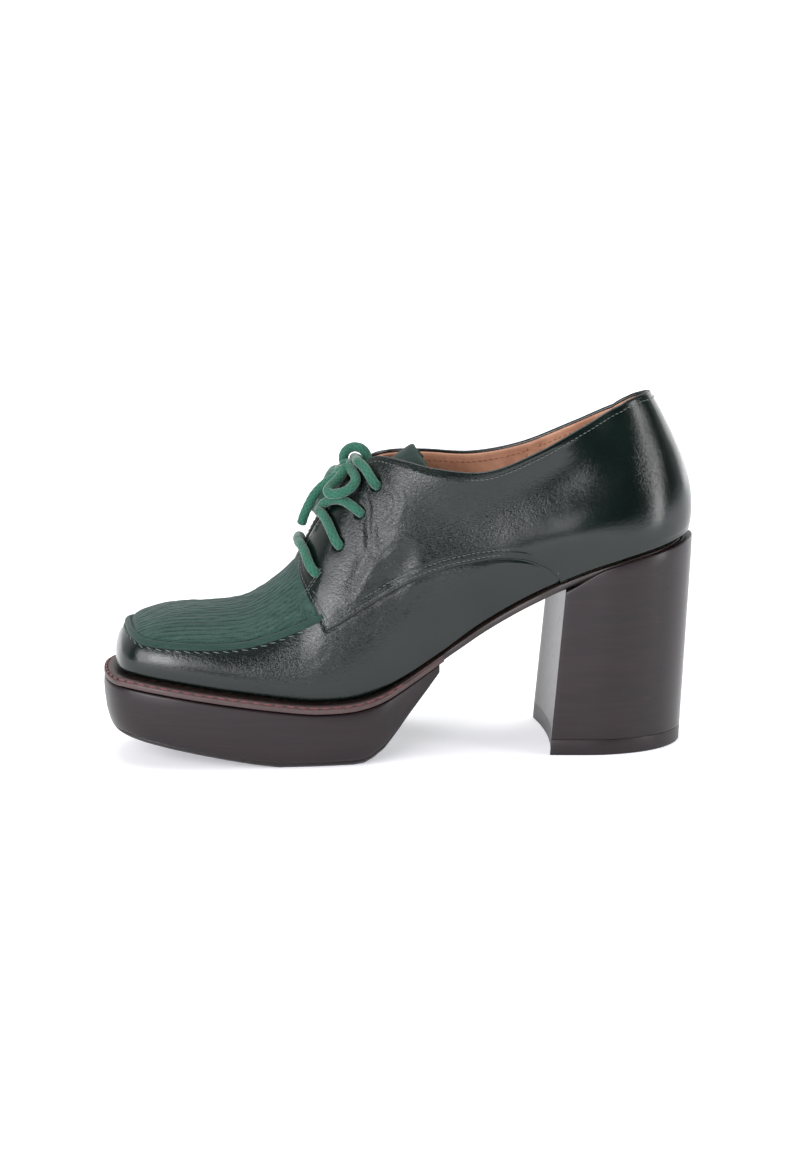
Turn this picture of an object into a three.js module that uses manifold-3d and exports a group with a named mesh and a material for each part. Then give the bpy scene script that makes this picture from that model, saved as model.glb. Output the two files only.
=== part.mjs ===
// A right-foot heeled derby shoe on a platform sole, standing empty.
// Millimetres, +Z up, toe toward -X, inner (medial) side toward -Y.
import * as THREE from "three";
import { mergeVertices } from "three/addons/utils/BufferGeometryUtils.js";
import Module from "manifold-3d";

const wasm = await Module();
wasm.setup();

// ---- plan sizes ----------------------------------------------------------
const LAST_LENGTH = 231.8; // the upper's foot outline, toe to heel
const BALL_WIDTH = 75; // the same outline across the ball
const SEAT_WIDTH = 54.4; // and across the heel seat
const COLLAR_WIDTH = 52; // the mouth across its widest
const THROAT_GAP = 13; // between the two lacing edges

// ---- heights -------------------------------------------------------------
const PLATFORM_THICKNESS = 22; // under the ball
const HEEL_RISE = 60.2; // heel seat above the ball
const TOE_SPRING = 11; // foot outline's lift at the toe
const TREAD_SPRING = 14; // the tread's own lift at the toe
const TOE_HEIGHT = 24; // upper over the toes
const INSTEP_HEIGHT = 92; // upper at the top of the throat
const BACK_HEIGHT = 58; // upper at the back of the heel

// ---- walls and layers ----------------------------------------------------
const WALL = 2; // leather and lining of the upper
const OVERLAY = 1; // the quarters' step over the vamp
const BEAD_RADIUS = 1.6; // rolled seam round the apron
const BEAD_SINK = 0.35; // share of it below the leather's face
const TONGUE_WALL = 2;
const INSOLE = 2;
const WELT = 3;
const WELT_MARGIN = 5.2; // how far the welt shows past the upper
const WELT_INSIDE = 6; // how far it runs under the upper
const SOLE_SHEET = 3;
const SEAT_RECESS = 1.2; // the sheet's edge inside the heel's rim
const HEEL_LIP = 1.3; // the heel's rim past the upper at the sides
const HEEL_BACK_LIP = 3; // and at the back
const LIP_RISE = 3; // and how high it stands round the seat
const BREAST_HOLLOW = 2.6; // depth of the heel's hollow front
const TOP_LIFT = 6.5;
const PLATFORM_TAIL = 1.2; // its thin rear end
const CLEARANCE = 0.3; // between pieces that sit on each other
const LAYER_GAP = 0.4; // between the stacked layers, measured upright

// ---- lace ----------------------------------------------------------------
const LACE_DIAMETER = 4;
const EYELET_CLEARANCE = 0.3;
const EYELET_INSET = 12.5; // eyelet from the lacing edge, along the leather
const LACE_STAND = 0.8; // lace above the leather's face

// ---- the last ------------------------------------------------------------
// One row per draft section. x: share of LAST_LENGTH from the toe. med, lat,
// axis, flare, crown: shares of the local width, which turns from BALL_WIDTH
// to SEAT_WIDTH by `seat`. spring, rise: shares of TOE_SPRING and HEEL_RISE.
// toe, instep, back: shares of the three heights, added up. fall: how much
// lower the outer side ends, of BACK_HEIGHT. edge: half opening, of
// THROAT_GAP up to row 9 and of COLLAR_WIDTH behind it. lift, drop, seam:
// shares of the wall's own height.
const LAST = table(
  ["x", "med", "lat", "seat", "axis", "spring", "rise", "toe", "instep", "back", "fall", "edge", "flare", "lift", "crown", "drop", "seam"],
  [
    [0.0, -0.093, -0.093, 0, -0.04, 0.982, 0, 0.992, 0, 0, 0, 0, 0.027, 0.546, 0.44, 0.05, 0.7],
    [0.0082, -0.28, 0.1, 0, -0.04, 1, 0, 0.983, 0, 0, 0, 0, 0.033, 0.551, 0.44, 0.051, 0.668],
    [0.0367, -0.387, 0.24, 0, -0.04, 0.945, 0, 1.008, 0, 0, 0, 0, 0.04, 0.537, 0.427, 0.05, 0.6],
    [0.0841, -0.432, 0.353, 0, -0.04, 0.782, 0, 1.083, 0, 0, 0, 0, 0.053, 0.519, 0.36, 0.031, 0.59],
    [0.1531, -0.453, 0.44, 0, -0.04, 0.527, 0, 1.2, 0, 0, 0, 0, 0.067, 0.486, 0.307, 0.014, 0.601],
    [0.2351, -0.461, 0.507, 0, -0.02, 0.255, 0, 1.003, 0.112, 0, 0, 0, 0.08, 0.436, 0.28, 0, 0.62],
    [0.3128, -0.461, 0.541, 0, -0.007, 0.045, 0, 0.732, 0.355, 0, 0, 0, 0.08, 0.339, 0.267, 0, 0.588],
    [0.3559, -0.456, 0.547, 0, 0, 0, 0, 0.282, 0.662, 0, 0.009, 0.769, 0.08, 0.325, 0.227, 0.059, 0.52],
    [0.4034, -0.44, 0.541, 0, 0.007, 0, 0.008, 0, 0.904, 0, 0.026, 1, 0.073, 0.337, 0.213, 0.072, 0.5],
    [0.4465, -0.411, 0.528, 0, 0.011, 0, 0.043, 0, 0.996, 0, 0.055, 1.462, 0.067, 0.349, 0.2, 0.109, 0.5],
    [0.4896, -0.384, 0.526, 0.1, 0.014, 0, 0.11, 0, 0.722, 0.382, 0.062, 0.75, 0.075, 0.361, 0.123, 0.181, 0.5],
    [0.55, -0.355, 0.526, 0.3, 0.017, 0, 0.243, 0, 0.422, 0.669, 0.028, 0.942, 0.094, 0.387, 0.073, 0.258, 0.5],
    [0.6363, -0.339, 0.525, 0.55, 0.019, 0, 0.462, 0, 0.171, 0.815, 0.028, 1, 0.11, 0.381, 0.063, 0.349, 0.5],
    [0.7226, -0.383, 0.537, 0.75, 0.017, 0, 0.654, 0, 0, 1.003, 0.076, 0.923, 0.101, 0.378, 0.076, 0.344, 0.5],
    [0.8089, -0.446, 0.546, 0.9, 0.014, 0, 0.804, 0, 0, 1.017, 0.092, 0.731, 0.089, 0.339, 0.106, 0.339, 0.5],
    [0.8779, -0.478, 0.522, 1, 0.009, 0, 0.894, 0, 0, 1.052, 0.078, 0.481, 0.074, 0.311, 0.138, 0.328, 0.5],
    [0.9426, -0.386, 0.415, 1, 0.009, 0, 0.953, 0, 0, 1.034, 0.048, 0.423, 0.074, 0.308, 0.175, 0.333, 0.5],
    [0.9858, -0.202, 0.224, 1, 0.009, 0, 0.99, 0, 0, 1.007, 0.018, 0.462, 0.092, 0.317, 0.202, 0.342, 0.5],
    [1.0, 0.009, 0.009, 1, 0.009, 0, 1, 0, 0, 0.998, 0, 0.492, 0.107, 0.32, 0.211, 0.345, 0.5],
  ]
);
const TOE_PIVOT = 4; // rows ahead of it fan round one upright line
const THROAT_START = 6;
const THROAT_END = 9;
const HEEL_PIVOT = 15;
const LAST_ROW = LAST.length - 1;
const TREAD = PLATFORM_THICKNESS + WELT + 2 * LAYER_GAP;

// the quarters' edge: x of LAST_LENGTH, height of the wall there
const QUARTER_EDGE = table(["x", "height"], [
  [0.318, 1.3], [0.318, 0.96], [0.3205, 0.883], [0.3254, 0.798], [0.3325, 0.703], [0.3437, 0.582], [0.353, 0.484], [0.3594, 0.427],
  [0.3805, 0.412], [0.4147, 0.41], [0.4496, 0.415], [0.4851, 0.438], [0.52, 0.462], [0.5554, 0.476], [0.5899, 0.475], [0.6253, 0.455],
  [0.6594, 0.414], [0.6947, 0.337], [0.7202, 0.261], [0.7475, 0.155], [0.765, 0.054], [0.776, -0.2],
]);
// eyelets: place between THROAT_START and THROAT_END, share of EYELET_INSET
const EYELETS = table(["place", "inset"], [[0.25, 1.75], [0.533, 1.8], [0.81, 1.56], [1.04, 1]]);
// the platform's tread: x of LAST_LENGTH, height of TREAD_SPRING ahead of
// the flat and of PLATFORM_THICKNESS behind it
const TREAD_LINE = table(["x", "spring", "back"], [
  [-0.0235, 0.99, 0], [-0.006, 0.93, 0], [0.035, 0.79, 0], [0.085, 0.59, 0], [0.137, 0.4, 0], [0.189, 0.225, 0], [0.235, 0.085, 0], [0.275, 0, 0],
  [0.405, 0, 0], [0.423, 0, 0.02], [0.438, 0, 0.1], [0.46, 0, 0.275], [0.485, 0, 0.6], [0.502, 0, 0.84], [0.537, 0, 1.3], [0.554, 0, 1.54], [0.573, 0, 1.82],
]);
// the platform's side: share of its height, inset of WELT_MARGIN
const PLATFORM_SIDE = table(["height", "inset"], [[0, 0.72], [0.12, 0.4], [0.45, 0.1], [0.8, -0.02], [1, 0.06]]);
const WELT_END = 11.2; // last row that the welt reaches
const HEEL_START = 13.62; // row of the heel's front edge at the seat
const HEEL_FOOT = table(["share", "value"], [
  [0.0262, 0.024], // front: x moved forward to the floor, inner and outer side
  [0.019, 0.05], // back: x moved in, and width gained
]);

// ---- small helpers -------------------------------------------------------
function table(names, rows) {
  return rows.map((row) => Object.fromEntries(names.map((name, i) => [name, row[i]])));
}
function mix(a, b, u) {
  return a + (b - a) * u;
}
function ramp(a, b, v) {
  const u = Math.min(1, Math.max(0, (v - a) / (b - a)));
  return u * u * (3 - 2 * u);
}
function along(rows, key, name, v) {
  if (v <= rows[0][key]) return rows[0][name];
  for (let i = 1; i < rows.length; i++) {
    const a = rows[i - 1], b = rows[i];
    if (v <= b[key]) return b[key] === a[key] ? b[name] : mix(a[name], b[name], (v - a[key]) / (b[key] - a[key]));
  }
  return rows[rows.length - 1][name];
}
function solid(name, geometry, colour, roughness = 0.6) {
  geometry.computeVertexNormals();
  const mesh = new THREE.Mesh(geometry, new THREE.MeshStandardMaterial({ color: colour, roughness }));
  mesh.name = name;
  return mesh;
}
function surface(points, faces) {
  const geometry = new THREE.BufferGeometry();
  geometry.setAttribute("position", new THREE.Float32BufferAttribute(points.flat(), 3));
  geometry.setIndex(faces.flat());
  return geometry;
}
function weld(geometry) {
  const g = geometry.clone();
  for (const name of ["normal", "uv"]) g.deleteAttribute(name);
  return mergeVertices(g, 1e-4);
}
function toManifold(geometry) {
  const g = weld(geometry);
  return new wasm.Manifold(new wasm.Mesh({
    numProp: 3,
    vertProperties: new Float32Array(g.attributes.position.array),
    triVerts: new Uint32Array(g.index.array),
  }));
}
function toGeometry(manifold) {
  const mesh = manifold.getMesh();
  const geometry = new THREE.BufferGeometry();
  geometry.setAttribute("position", new THREE.BufferAttribute(new Float32Array(mesh.vertProperties), 3));
  geometry.setIndex(new THREE.BufferAttribute(new Uint32Array(mesh.triVerts), 1));
  return geometry;
}
// joins corners closer than SHORT and turns the diagonals of flat slivers,
// so that a joined or cut surface keeps only faces of a fair shape
const SHORT = 0.12, FLAT = 0.04;
function fair(geometry) {
  const position = geometry.attributes.position;
  const points = [];
  for (let i = 0; i < position.count; i++) points.push(new THREE.Vector3().fromBufferAttribute(position, i));
  let faces = [];
  for (let i = 0; i < geometry.index.count; i += 3) faces.push([0, 1, 2].map((j) => geometry.index.getX(i + j)));
  const normal = ([a, b, c]) => new THREE.Vector3().subVectors(points[b], points[a]).cross(new THREE.Vector3().subVectors(points[c], points[a]));
  const longest = (f) => Math.max(...[0, 1, 2].map((j) => points[f[j]].distanceTo(points[f[(j + 1) % 3]])));
  const depth = (f) => normal(f).length() / longest(f);
  for (let pass = 0; pass < 60; pass++) {
    const fan = new Map();
    faces.forEach((f, i) => f.forEach((v) => (fan.get(v) ?? fan.set(v, new Set()).get(v)).add(i)));
    const around = (v) => new Set([...fan.get(v)].flatMap((i) => faces[i]).filter((w) => w !== v));
    const busy = new Set();
    let changed = 0;
    for (let i = 0; i < faces.length; i++) {
      const f = faces[i];
      if (!f || f.some((v) => busy.has(v))) continue;
      const sides = [0, 1, 2].map((j) => [points[f[j]].distanceTo(points[f[(j + 1) % 3]]), f[j], f[(j + 1) % 3]]);
      sides.sort((p, q) => p[0] - q[0]);
      const slim = depth(f);
      if (sides[0][0] < SHORT || (slim < FLAT && sides[0][0] < 6 * SHORT)) {
        let done = false;
        for (const [u, v] of [[sides[0][1], sides[0][2]], [sides[0][2], sides[0][1]]]) {
          const ring = around(u);
          const shared = [...around(v)].filter((w) => ring.has(w));
          if (shared.length !== 2 || [...ring].some((w) => busy.has(w))) continue;
          const moved = [...fan.get(u)].filter((k) => faces[k] && !faces[k].includes(v));
          const turned = moved.some((k) => {
            const old = normal(faces[k]), now = normal(faces[k].map((w) => (w === u ? v : w)));
            return depth(faces[k]) > 0.01 && now.dot(old) < 0.6 * now.length() * old.length();
          });
          if (turned) continue;
          for (const k of [...fan.get(u)]) {
            if (!faces[k]) continue;
            if (faces[k].includes(v)) faces[k] = null;
            else {
              faces[k] = faces[k].map((w) => (w === u ? v : w));
              fan.get(v).add(k);
            }
          }
          [...ring, u, v].forEach((w) => busy.add(w));
          changed++;
          done = true;
          break;
        }
        if (done) continue;
      }
      if (slim < FLAT) {
        const [, a, b] = sides[2];
        const c = f.find((v) => v !== a && v !== b);
        const k = [...fan.get(a)].find((m) => m !== i && faces[m] && faces[m].includes(b));
        if (k === undefined) continue;
        const d = faces[k].find((v) => v !== a && v !== b);
        if (busy.has(d) || around(c).has(d)) continue;
        const order = f.indexOf(b) === (f.indexOf(a) + 1) % 3;
        const [p, q] = order ? [a, b] : [b, a];
        const one = [p, d, c], two = [d, q, c];
        const facing = normal(faces[k]);
        const ok = [one, two].every((g) => normal(g).dot(facing) > 0.5 * normal(g).length() * facing.length());
        if (!ok || Math.min(depth(one), depth(two)) <= Math.min(slim, depth(faces[k]))) continue;
        faces[i] = one;
        faces[k] = two;
        [a, b, c, d].forEach((w) => busy.add(w));
        changed++;
      }
    }
    faces = faces.filter(Boolean);
    if (!changed) break;
  }
  const used = new Map(), kept = [];
  const index = faces.map((f) => f.map((v) => {
    if (!used.has(v)) {
      used.set(v, kept.length);
      kept.push(points[v].toArray());
    }
    return used.get(v);
  }));
  return surface(kept, index);
}
// a closed tube through points, with flat ends
function cord(points, radius, steps, sides, closed = false) {
  const curve = new THREE.CatmullRomCurve3(points.map((p) => new THREE.Vector3(...p)), closed);
  const ring = new THREE.Shape();
  for (let i = 0; i < sides; i++) {
    const a = (2 * Math.PI * i) / sides;
    if (i) ring.lineTo(radius * Math.cos(a), radius * Math.sin(a));
    else ring.moveTo(radius * Math.cos(a), radius * Math.sin(a));
  }
  ring.closePath();
  return weld(new THREE.ExtrudeGeometry(ring, { steps, bevelEnabled: false, extrudePath: curve, curveSegments: 1 }));
}

// ---- the last's surface --------------------------------------------------
const rows = LAST.map((row, i) => {
  const width = mix(BALL_WIDTH, SEAT_WIDTH, row.seat);
  const wall = row.toe * TOE_HEIGHT + row.instep * INSTEP_HEIGHT + row.back * BACK_HEIGHT;
  return {
    x: (row.x - 0.5) * LAST_LENGTH,
    med: row.med * width,
    lat: row.lat * width,
    axis: row.axis * width,
    base: TREAD + row.spring * TOE_SPRING + row.rise * HEEL_RISE,
    wall,
    fall: row.fall * BACK_HEIGHT,
    edge: (row.edge * (i <= THROAT_END ? THROAT_GAP : COLLAR_WIDTH)) / 2,
    flare: row.flare * width,
    lift: row.lift * wall,
    crown: row.crown * width,
    drop: row.drop * wall,
    seam: row.seam,
  };
});
const TWIN = { med: "lat", lat: "med" };
function at(name, k) {
  const c = Math.min(LAST_ROW, Math.max(0, k));
  const i = Math.min(LAST_ROW - 1, Math.floor(c));
  const u = c - i;
  const twin = TWIN[name] ?? name;
  const p0 = i ? rows[i - 1][name] : rows[1][twin];
  const p1 = rows[i][name];
  const p2 = rows[i + 1][name];
  const p3 = i + 2 <= LAST_ROW ? rows[i + 2][name] : rows[LAST_ROW - 1][twin];
  return p1 + 0.5 * u * (p2 - p0 + u * (2 * p0 - 5 * p1 + 4 * p2 - p3 + u * (3 * (p1 - p2) + p3 - p0)));
}
const X_PIVOT = [rows[TOE_PIVOT].x, rows[HEEL_PIVOT].x];
// side -1 inner, +1 outer; k: row; t: 0 at the sole, 1 at the top
function skin(side, k, t) {
  const x = at("x", k);
  const y = side < 0 ? at("med", k) : at("lat", k);
  const kp = Math.max(k, TOE_PIVOT);
  const xa = Math.min(X_PIVOT[1], Math.max(X_PIVOT[0], x));
  const ya = at("axis", kp);
  const base = at("base", k);
  const topWall = at("base", kp) + at("wall", kp) - (side > 0 ? Math.max(0, at("fall", kp)) : 0) - base;
  const reach = Math.hypot(x - xa, y - ya);
  const ux = (x - xa) / reach;
  const uy = (y - ya) / reach;
  const edge = k <= THROAT_START ? 0 : Math.max(0, at("edge", k));
  const w = [(1 - t) ** 3, 3 * t * (1 - t) ** 2, 3 * t * t * (1 - t), t ** 3];
  const rho = w[0] * reach + w[1] * (reach + at("flare", k)) + w[2] * (edge + at("crown", k)) + w[3] * edge;
  const up = w[1] * at("lift", k) + w[2] * (topWall - at("drop", k)) + w[3] * topWall;
  return [xa + ux * rho, ya + uy * rho, base + up];
}
function outward(side, k, t) {
  const e = 0.02;
  const a = new THREE.Vector3(...skin(side, Math.min(LAST_ROW, k + e), t)).sub(new THREE.Vector3(...skin(side, Math.max(0, k - e), t)));
  const b = new THREE.Vector3(...skin(side, k, Math.min(1, t + e))).sub(new THREE.Vector3(...skin(side, k, Math.max(0, t - e))));
  return a.cross(b).multiplyScalar(-side).normalize();
}
function lifted(side, k, t, off) {
  const n = outward(side, k, t);
  const p = skin(side, k, t);
  return [p[0] + n.x * off, p[1] + n.y * off, p[2] + n.z * off];
}
function rowAt(x) {
  let a = 0, b = LAST_ROW;
  for (let i = 0; i < 40; i++) {
    const m = (a + b) / 2;
    if (at("x", m) < x) a = m;
    else b = m;
  }
  return (a + b) / 2;
}
// the foot's underside above the floor, running on past the toe
function footHeight(x) {
  const x0 = rows[0].x, x3 = rows[3].x, end = rows[LAST_ROW].x, back = rows[LAST_ROW - 2].x;
  if (x < x0) return rows[0].base + ((rows[0].base - rows[3].base) / (x0 - x3)) * (x - x0);
  if (x > end) return rows[LAST_ROW].base + ((rows[LAST_ROW].base - rows[LAST_ROW - 2].base) / (end - back)) * (x - end);
  return at("base", rowAt(x));
}

// ---- upper ---------------------------------------------------------------
const SECTIONS = [];
for (let k = 0; k <= LAST_ROW; k += 0.5) SECTIONS.push(k);
const HEIGHTS = [0, 0.12, 0.25, 0.38, 0.5, 0.62, 0.74, 0.87, 1];

function shell(outer, inner) {
  const points = [], faces = [], id = new Map();
  const n = SECTIONS.length - 1, m = HEIGHTS.length - 1;
  const key = (side, i, j) => {
    if (j === m && SECTIONS[i] <= TOE_PIVOT) return "pivot";
    const one = i === 0 || i === n || (j === m && SECTIONS[i] <= THROAT_START);
    return `${one ? 0 : side},${i},${j}`;
  };
  for (const side of [-1, 1])
    for (let i = 0; i <= n; i++)
      for (let j = 0; j <= m; j++)
        if (!id.has(key(side, i, j))) {
          id.set(key(side, i, j), points.length);
          points.push(skin(side, SECTIONS[i], HEIGHTS[j]));
        }
  const v = (side, i, j) => id.get(key(side, i, j));
  for (const side of [-1, 1])
    for (let i = 0; i < n; i++)
      for (let j = 0; j < m; j++) {
        const a = v(side, i, j), b = v(side, i + 1, j), c = v(side, i + 1, j + 1), d = v(side, i, j + 1);
        for (const f of [[a, b, c], [a, c, d]]) {
          if (f[0] === f[1] || f[1] === f[2] || f[2] === f[0]) continue;
          faces.push(side < 0 ? f : [f[0], f[2], f[1]]);
        }
      }
  const skinMesh = surface(points, faces);
  skinMesh.computeVertexNormals();
  const normal = skinMesh.attributes.normal;
  const foot = new Set();
  for (const side of [-1, 1]) for (let i = 0; i <= n; i++) foot.add(v(side, i, 0));
  const move = (p, i, off) => {
    const d = new THREE.Vector3(normal.getX(i), normal.getY(i), foot.has(i) ? 0 : normal.getZ(i)).normalize();
    return [p[0] + d.x * off, p[1] + d.y * off, p[2] + d.z * off];
  };
  const count = points.length;
  const all = [...points.map((p, i) => move(p, i, outer)), ...points.map((p, i) => move(p, i, inner))];
  const both = [...faces, ...faces.map((f) => [f[0] + count, f[2] + count, f[1] + count])];
  const rim = (a, b) => both.push([a, a + count, b + count], [a, b + count, b]);
  for (let i = 0; i < n; i++) {
    rim(v(-1, i, 0), v(-1, i + 1, 0));
    rim(v(1, i + 1, 0), v(1, i, 0));
    if (SECTIONS[i] >= THROAT_START) {
      rim(v(-1, i + 1, m), v(-1, i, m));
      rim(v(1, i, m), v(1, i + 1, m));
    }
  }
  return surface(all, both);
}
// everything above and behind the quarters' edge, as a prism across the shoe
function quarterRegion() {
  const outline = new THREE.Shape();
  const far = LAST_LENGTH, high = TREAD + HEEL_RISE + INSTEP_HEIGHT + BACK_HEIGHT;
  QUARTER_EDGE.forEach((row, i) => {
    const x = (row.x - 0.5) * LAST_LENGTH;
    const k = rowAt(x);
    const z = i ? at("base", k) + row.height * at("wall", k) : high;
    if (i) outline.lineTo(x, z);
    else outline.moveTo(x, z);
  });
  outline.lineTo(far, 0);
  outline.lineTo(far, high);
  outline.closePath();
  const g = new THREE.ExtrudeGeometry(outline, { depth: 2 * BALL_WIDTH, bevelEnabled: false, curveSegments: 1 });
  g.rotateX(Math.PI / 2);
  g.translate(0, BALL_WIDTH, 0);
  return g;
}
// height share of the apron's seam, as t on the rib
function seamAt(side, k) {
  const kp = Math.max(k, TOE_PIVOT);
  const base = at("base", k);
  const goal = base + at("seam", k) * (at("base", kp) + at("wall", kp) - base);
  let a = 0, b = 1;
  for (let i = 0; i < 30; i++) {
    const m = (a + b) / 2;
    if (skin(side, k, m)[2] < goal) a = m;
    else b = m;
  }
  return (a + b) / 2;
}
function apronBead() {
  const end = rowAt((0.348 - 0.5) * LAST_LENGTH);
  const path = [];
  for (let i = 18; i >= 1; i--) path.push([-1, (end * i) / 18]);
  for (let i = 0; i <= 18; i++) path.push([1, (end * i) / 18]);
  return cord(path.map(([s, k]) => lifted(s, k, seamAt(s, k), -BEAD_SINK * BEAD_RADIUS)), BEAD_RADIUS, 52, 6);
}
// eyelet centres, on the quarters
function eyelet(side, i) {
  const k = mix(THROAT_START, THROAT_END, EYELETS[i].place);
  const goal = EYELETS[i].inset * EYELET_INSET;
  let t = 1, run = 0, p = skin(side, k, 1);
  while (run < goal && t > 0.3) {
    t -= 0.005;
    const q = skin(side, k, t);
    run += Math.hypot(q[0] - p[0], q[1] - p[1], q[2] - p[2]);
    p = q;
  }
  return { k, t, point: lifted(side, k, t, OVERLAY), normal: outward(side, k, t) };
}
function eyeletCutter(side, i) {
  const { point, normal } = eyelet(side, i);
  const r = LACE_DIAMETER / 2 + EYELET_CLEARANCE;
  const depth = 4 * (WALL + OVERLAY);
  const g = new THREE.CylinderGeometry(r, r, depth, 12);
  g.applyQuaternion(new THREE.Quaternion().setFromUnitVectors(new THREE.Vector3(0, 1, 0), normal));
  g.translate(...point);
  return g;
}
function upper() {
  const base = toManifold(shell(0, -WALL));
  const raised = wasm.Manifold.intersection(toManifold(shell(OVERLAY, -WALL / 2)), toManifold(quarterRegion()));
  let body = wasm.Manifold.union(base, raised);
  body = wasm.Manifold.union(body, toManifold(apronBead()));
  for (const side of [-1, 1])
    for (let i = 0; i < EYELETS.length; i++) body = wasm.Manifold.difference(body, toManifold(eyeletCutter(side, i)));
  return fair(toGeometry(body));
}

// ---- plates under the foot ----------------------------------------------
// a plan point on the foot's outline, moved out by `off`
function outlinePoint(side, k, off) {
  const e = 0.05;
  const y = side < 0 ? "med" : "lat";
  const twin = TWIN[y];
  const read = (c) => (c < 0 ? [at("x", -c), at(twin, -c)] : c > LAST_ROW ? [at("x", 2 * LAST_ROW - c), at(twin, 2 * LAST_ROW - c)] : [at("x", c), at(y, c)]);
  const a = read(k - e), b = read(k + e);
  const d = Math.hypot(b[0] - a[0], b[1] - a[1]);
  const p = read(k);
  return [p[0] - ((b[1] - a[1]) / d) * off * side * -1 * -1, p[1] + ((b[0] - a[0]) / d) * off * side];
}
// a closed plate between two heights, its outline moved by off(k)
function plate(from, to, step, off, topDrop, bottomDrop) {
  const points = [], faces = [];
  const ks = [];
  for (let k = from; k <= to + 1e-9; k += step) ks.push(Math.min(k, to));
  const n = ks.length;
  const pointed = [from === 0, to === LAST_ROW];
  const index = [];
  for (const level of [topDrop, bottomDrop])
    for (const side of [-1, 1])
      ks.forEach((k, i) => {
        const shared = side > 0 && ((i === 0 && pointed[0]) || (i === n - 1 && pointed[1]));
        if (shared) {
          index.push(index[(level === topDrop ? 0 : 2 * n) + i]);
          return;
        }
        const [x, y] = outlinePoint(side, k, off(k));
        index.push(points.length);
        points.push([x, y, footHeight(x) - level]);
      });
  const v = (bottom, outer, i) => index[bottom * 2 * n + outer * n + i];
  const add = (a, b, c) => {
    if (a !== b && b !== c && c !== a) faces.push([a, b, c]);
  };
  for (let i = 0; i < n - 1; i++) {
    add(v(0, 0, i), v(0, 0, i + 1), v(0, 1, i + 1));
    add(v(0, 0, i), v(0, 1, i + 1), v(0, 1, i));
    add(v(1, 0, i), v(1, 1, i + 1), v(1, 0, i + 1));
    add(v(1, 0, i), v(1, 1, i), v(1, 1, i + 1));
    add(v(1, 0, i), v(1, 0, i + 1), v(0, 0, i + 1));
    add(v(1, 0, i), v(0, 0, i + 1), v(0, 0, i));
    add(v(1, 1, i), v(0, 1, i + 1), v(1, 1, i + 1));
    add(v(1, 1, i), v(0, 1, i), v(0, 1, i + 1));
  }
  for (const [i, flip, done] of [[0, false, pointed[0]], [n - 1, true, pointed[1]]]) {
    if (done) continue;
    const [a, b, c, d] = [v(0, 0, i), v(0, 1, i), v(1, 1, i), v(1, 0, i)];
    if (flip) {
      add(a, d, c);
      add(a, c, b);
    } else {
      add(a, c, d);
      add(a, b, c);
    }
  }
  return surface(points, faces);
}
const weltEdge = (k) => WELT_MARGIN * (1 - 0.96 * ramp(WELT_END - 2.6, WELT_END, k));
const weltInner = (k) => WELT_INSIDE * (1 - 0.85 * ramp(WELT_END - 2.2, WELT_END, k));
const sheetEdge = (k) => mix(-weltInner(k) - CLEARANCE, -0.05 * WELT_MARGIN, ramp(WELT_END + 0.05, WELT_END + 0.5, k)) - SEAT_RECESS * ramp(HEEL_START - 0.6, HEEL_START - 0.1, k);
function welt() {
  const path = [];
  const steps = 24;
  for (let i = steps; i >= 1; i--) path.push([-1, (WELT_END * i) / steps]);
  for (let i = 0; i <= steps; i++) path.push([1, (WELT_END * i) / steps]);
  const points = [], faces = [];
  for (const [side, k] of path) {
    const o = outlinePoint(side, k, weltEdge(k));
    const i = outlinePoint(side, k, -weltInner(k));
    points.push([...o, footHeight(o[0]) - LAYER_GAP], [...i, footHeight(i[0]) - LAYER_GAP]);
    points.push([...i, footHeight(i[0]) - LAYER_GAP - WELT], [...o, footHeight(o[0]) - LAYER_GAP - WELT]);
  }
  for (let s = 0; s < path.length - 1; s++)
    for (let j = 0; j < 4; j++) {
      const a = 4 * s + j, b = 4 * s + ((j + 1) % 4), c = 4 * (s + 1) + ((j + 1) % 4), d = 4 * (s + 1) + j;
      faces.push([a, b, c], [a, c, d]);
    }
  const e = 4 * (path.length - 1);
  faces.push([0, 2, 1], [0, 3, 2], [e, e + 1, e + 2], [e, e + 2, e + 3]);
  return surface(points, faces);
}
function treadHeight(x) {
  const s = x / LAST_LENGTH + 0.5;
  return along(TREAD_LINE, "x", "spring", s) * TREAD_SPRING + along(TREAD_LINE, "x", "back", s) * PLATFORM_THICKNESS;
}
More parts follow.
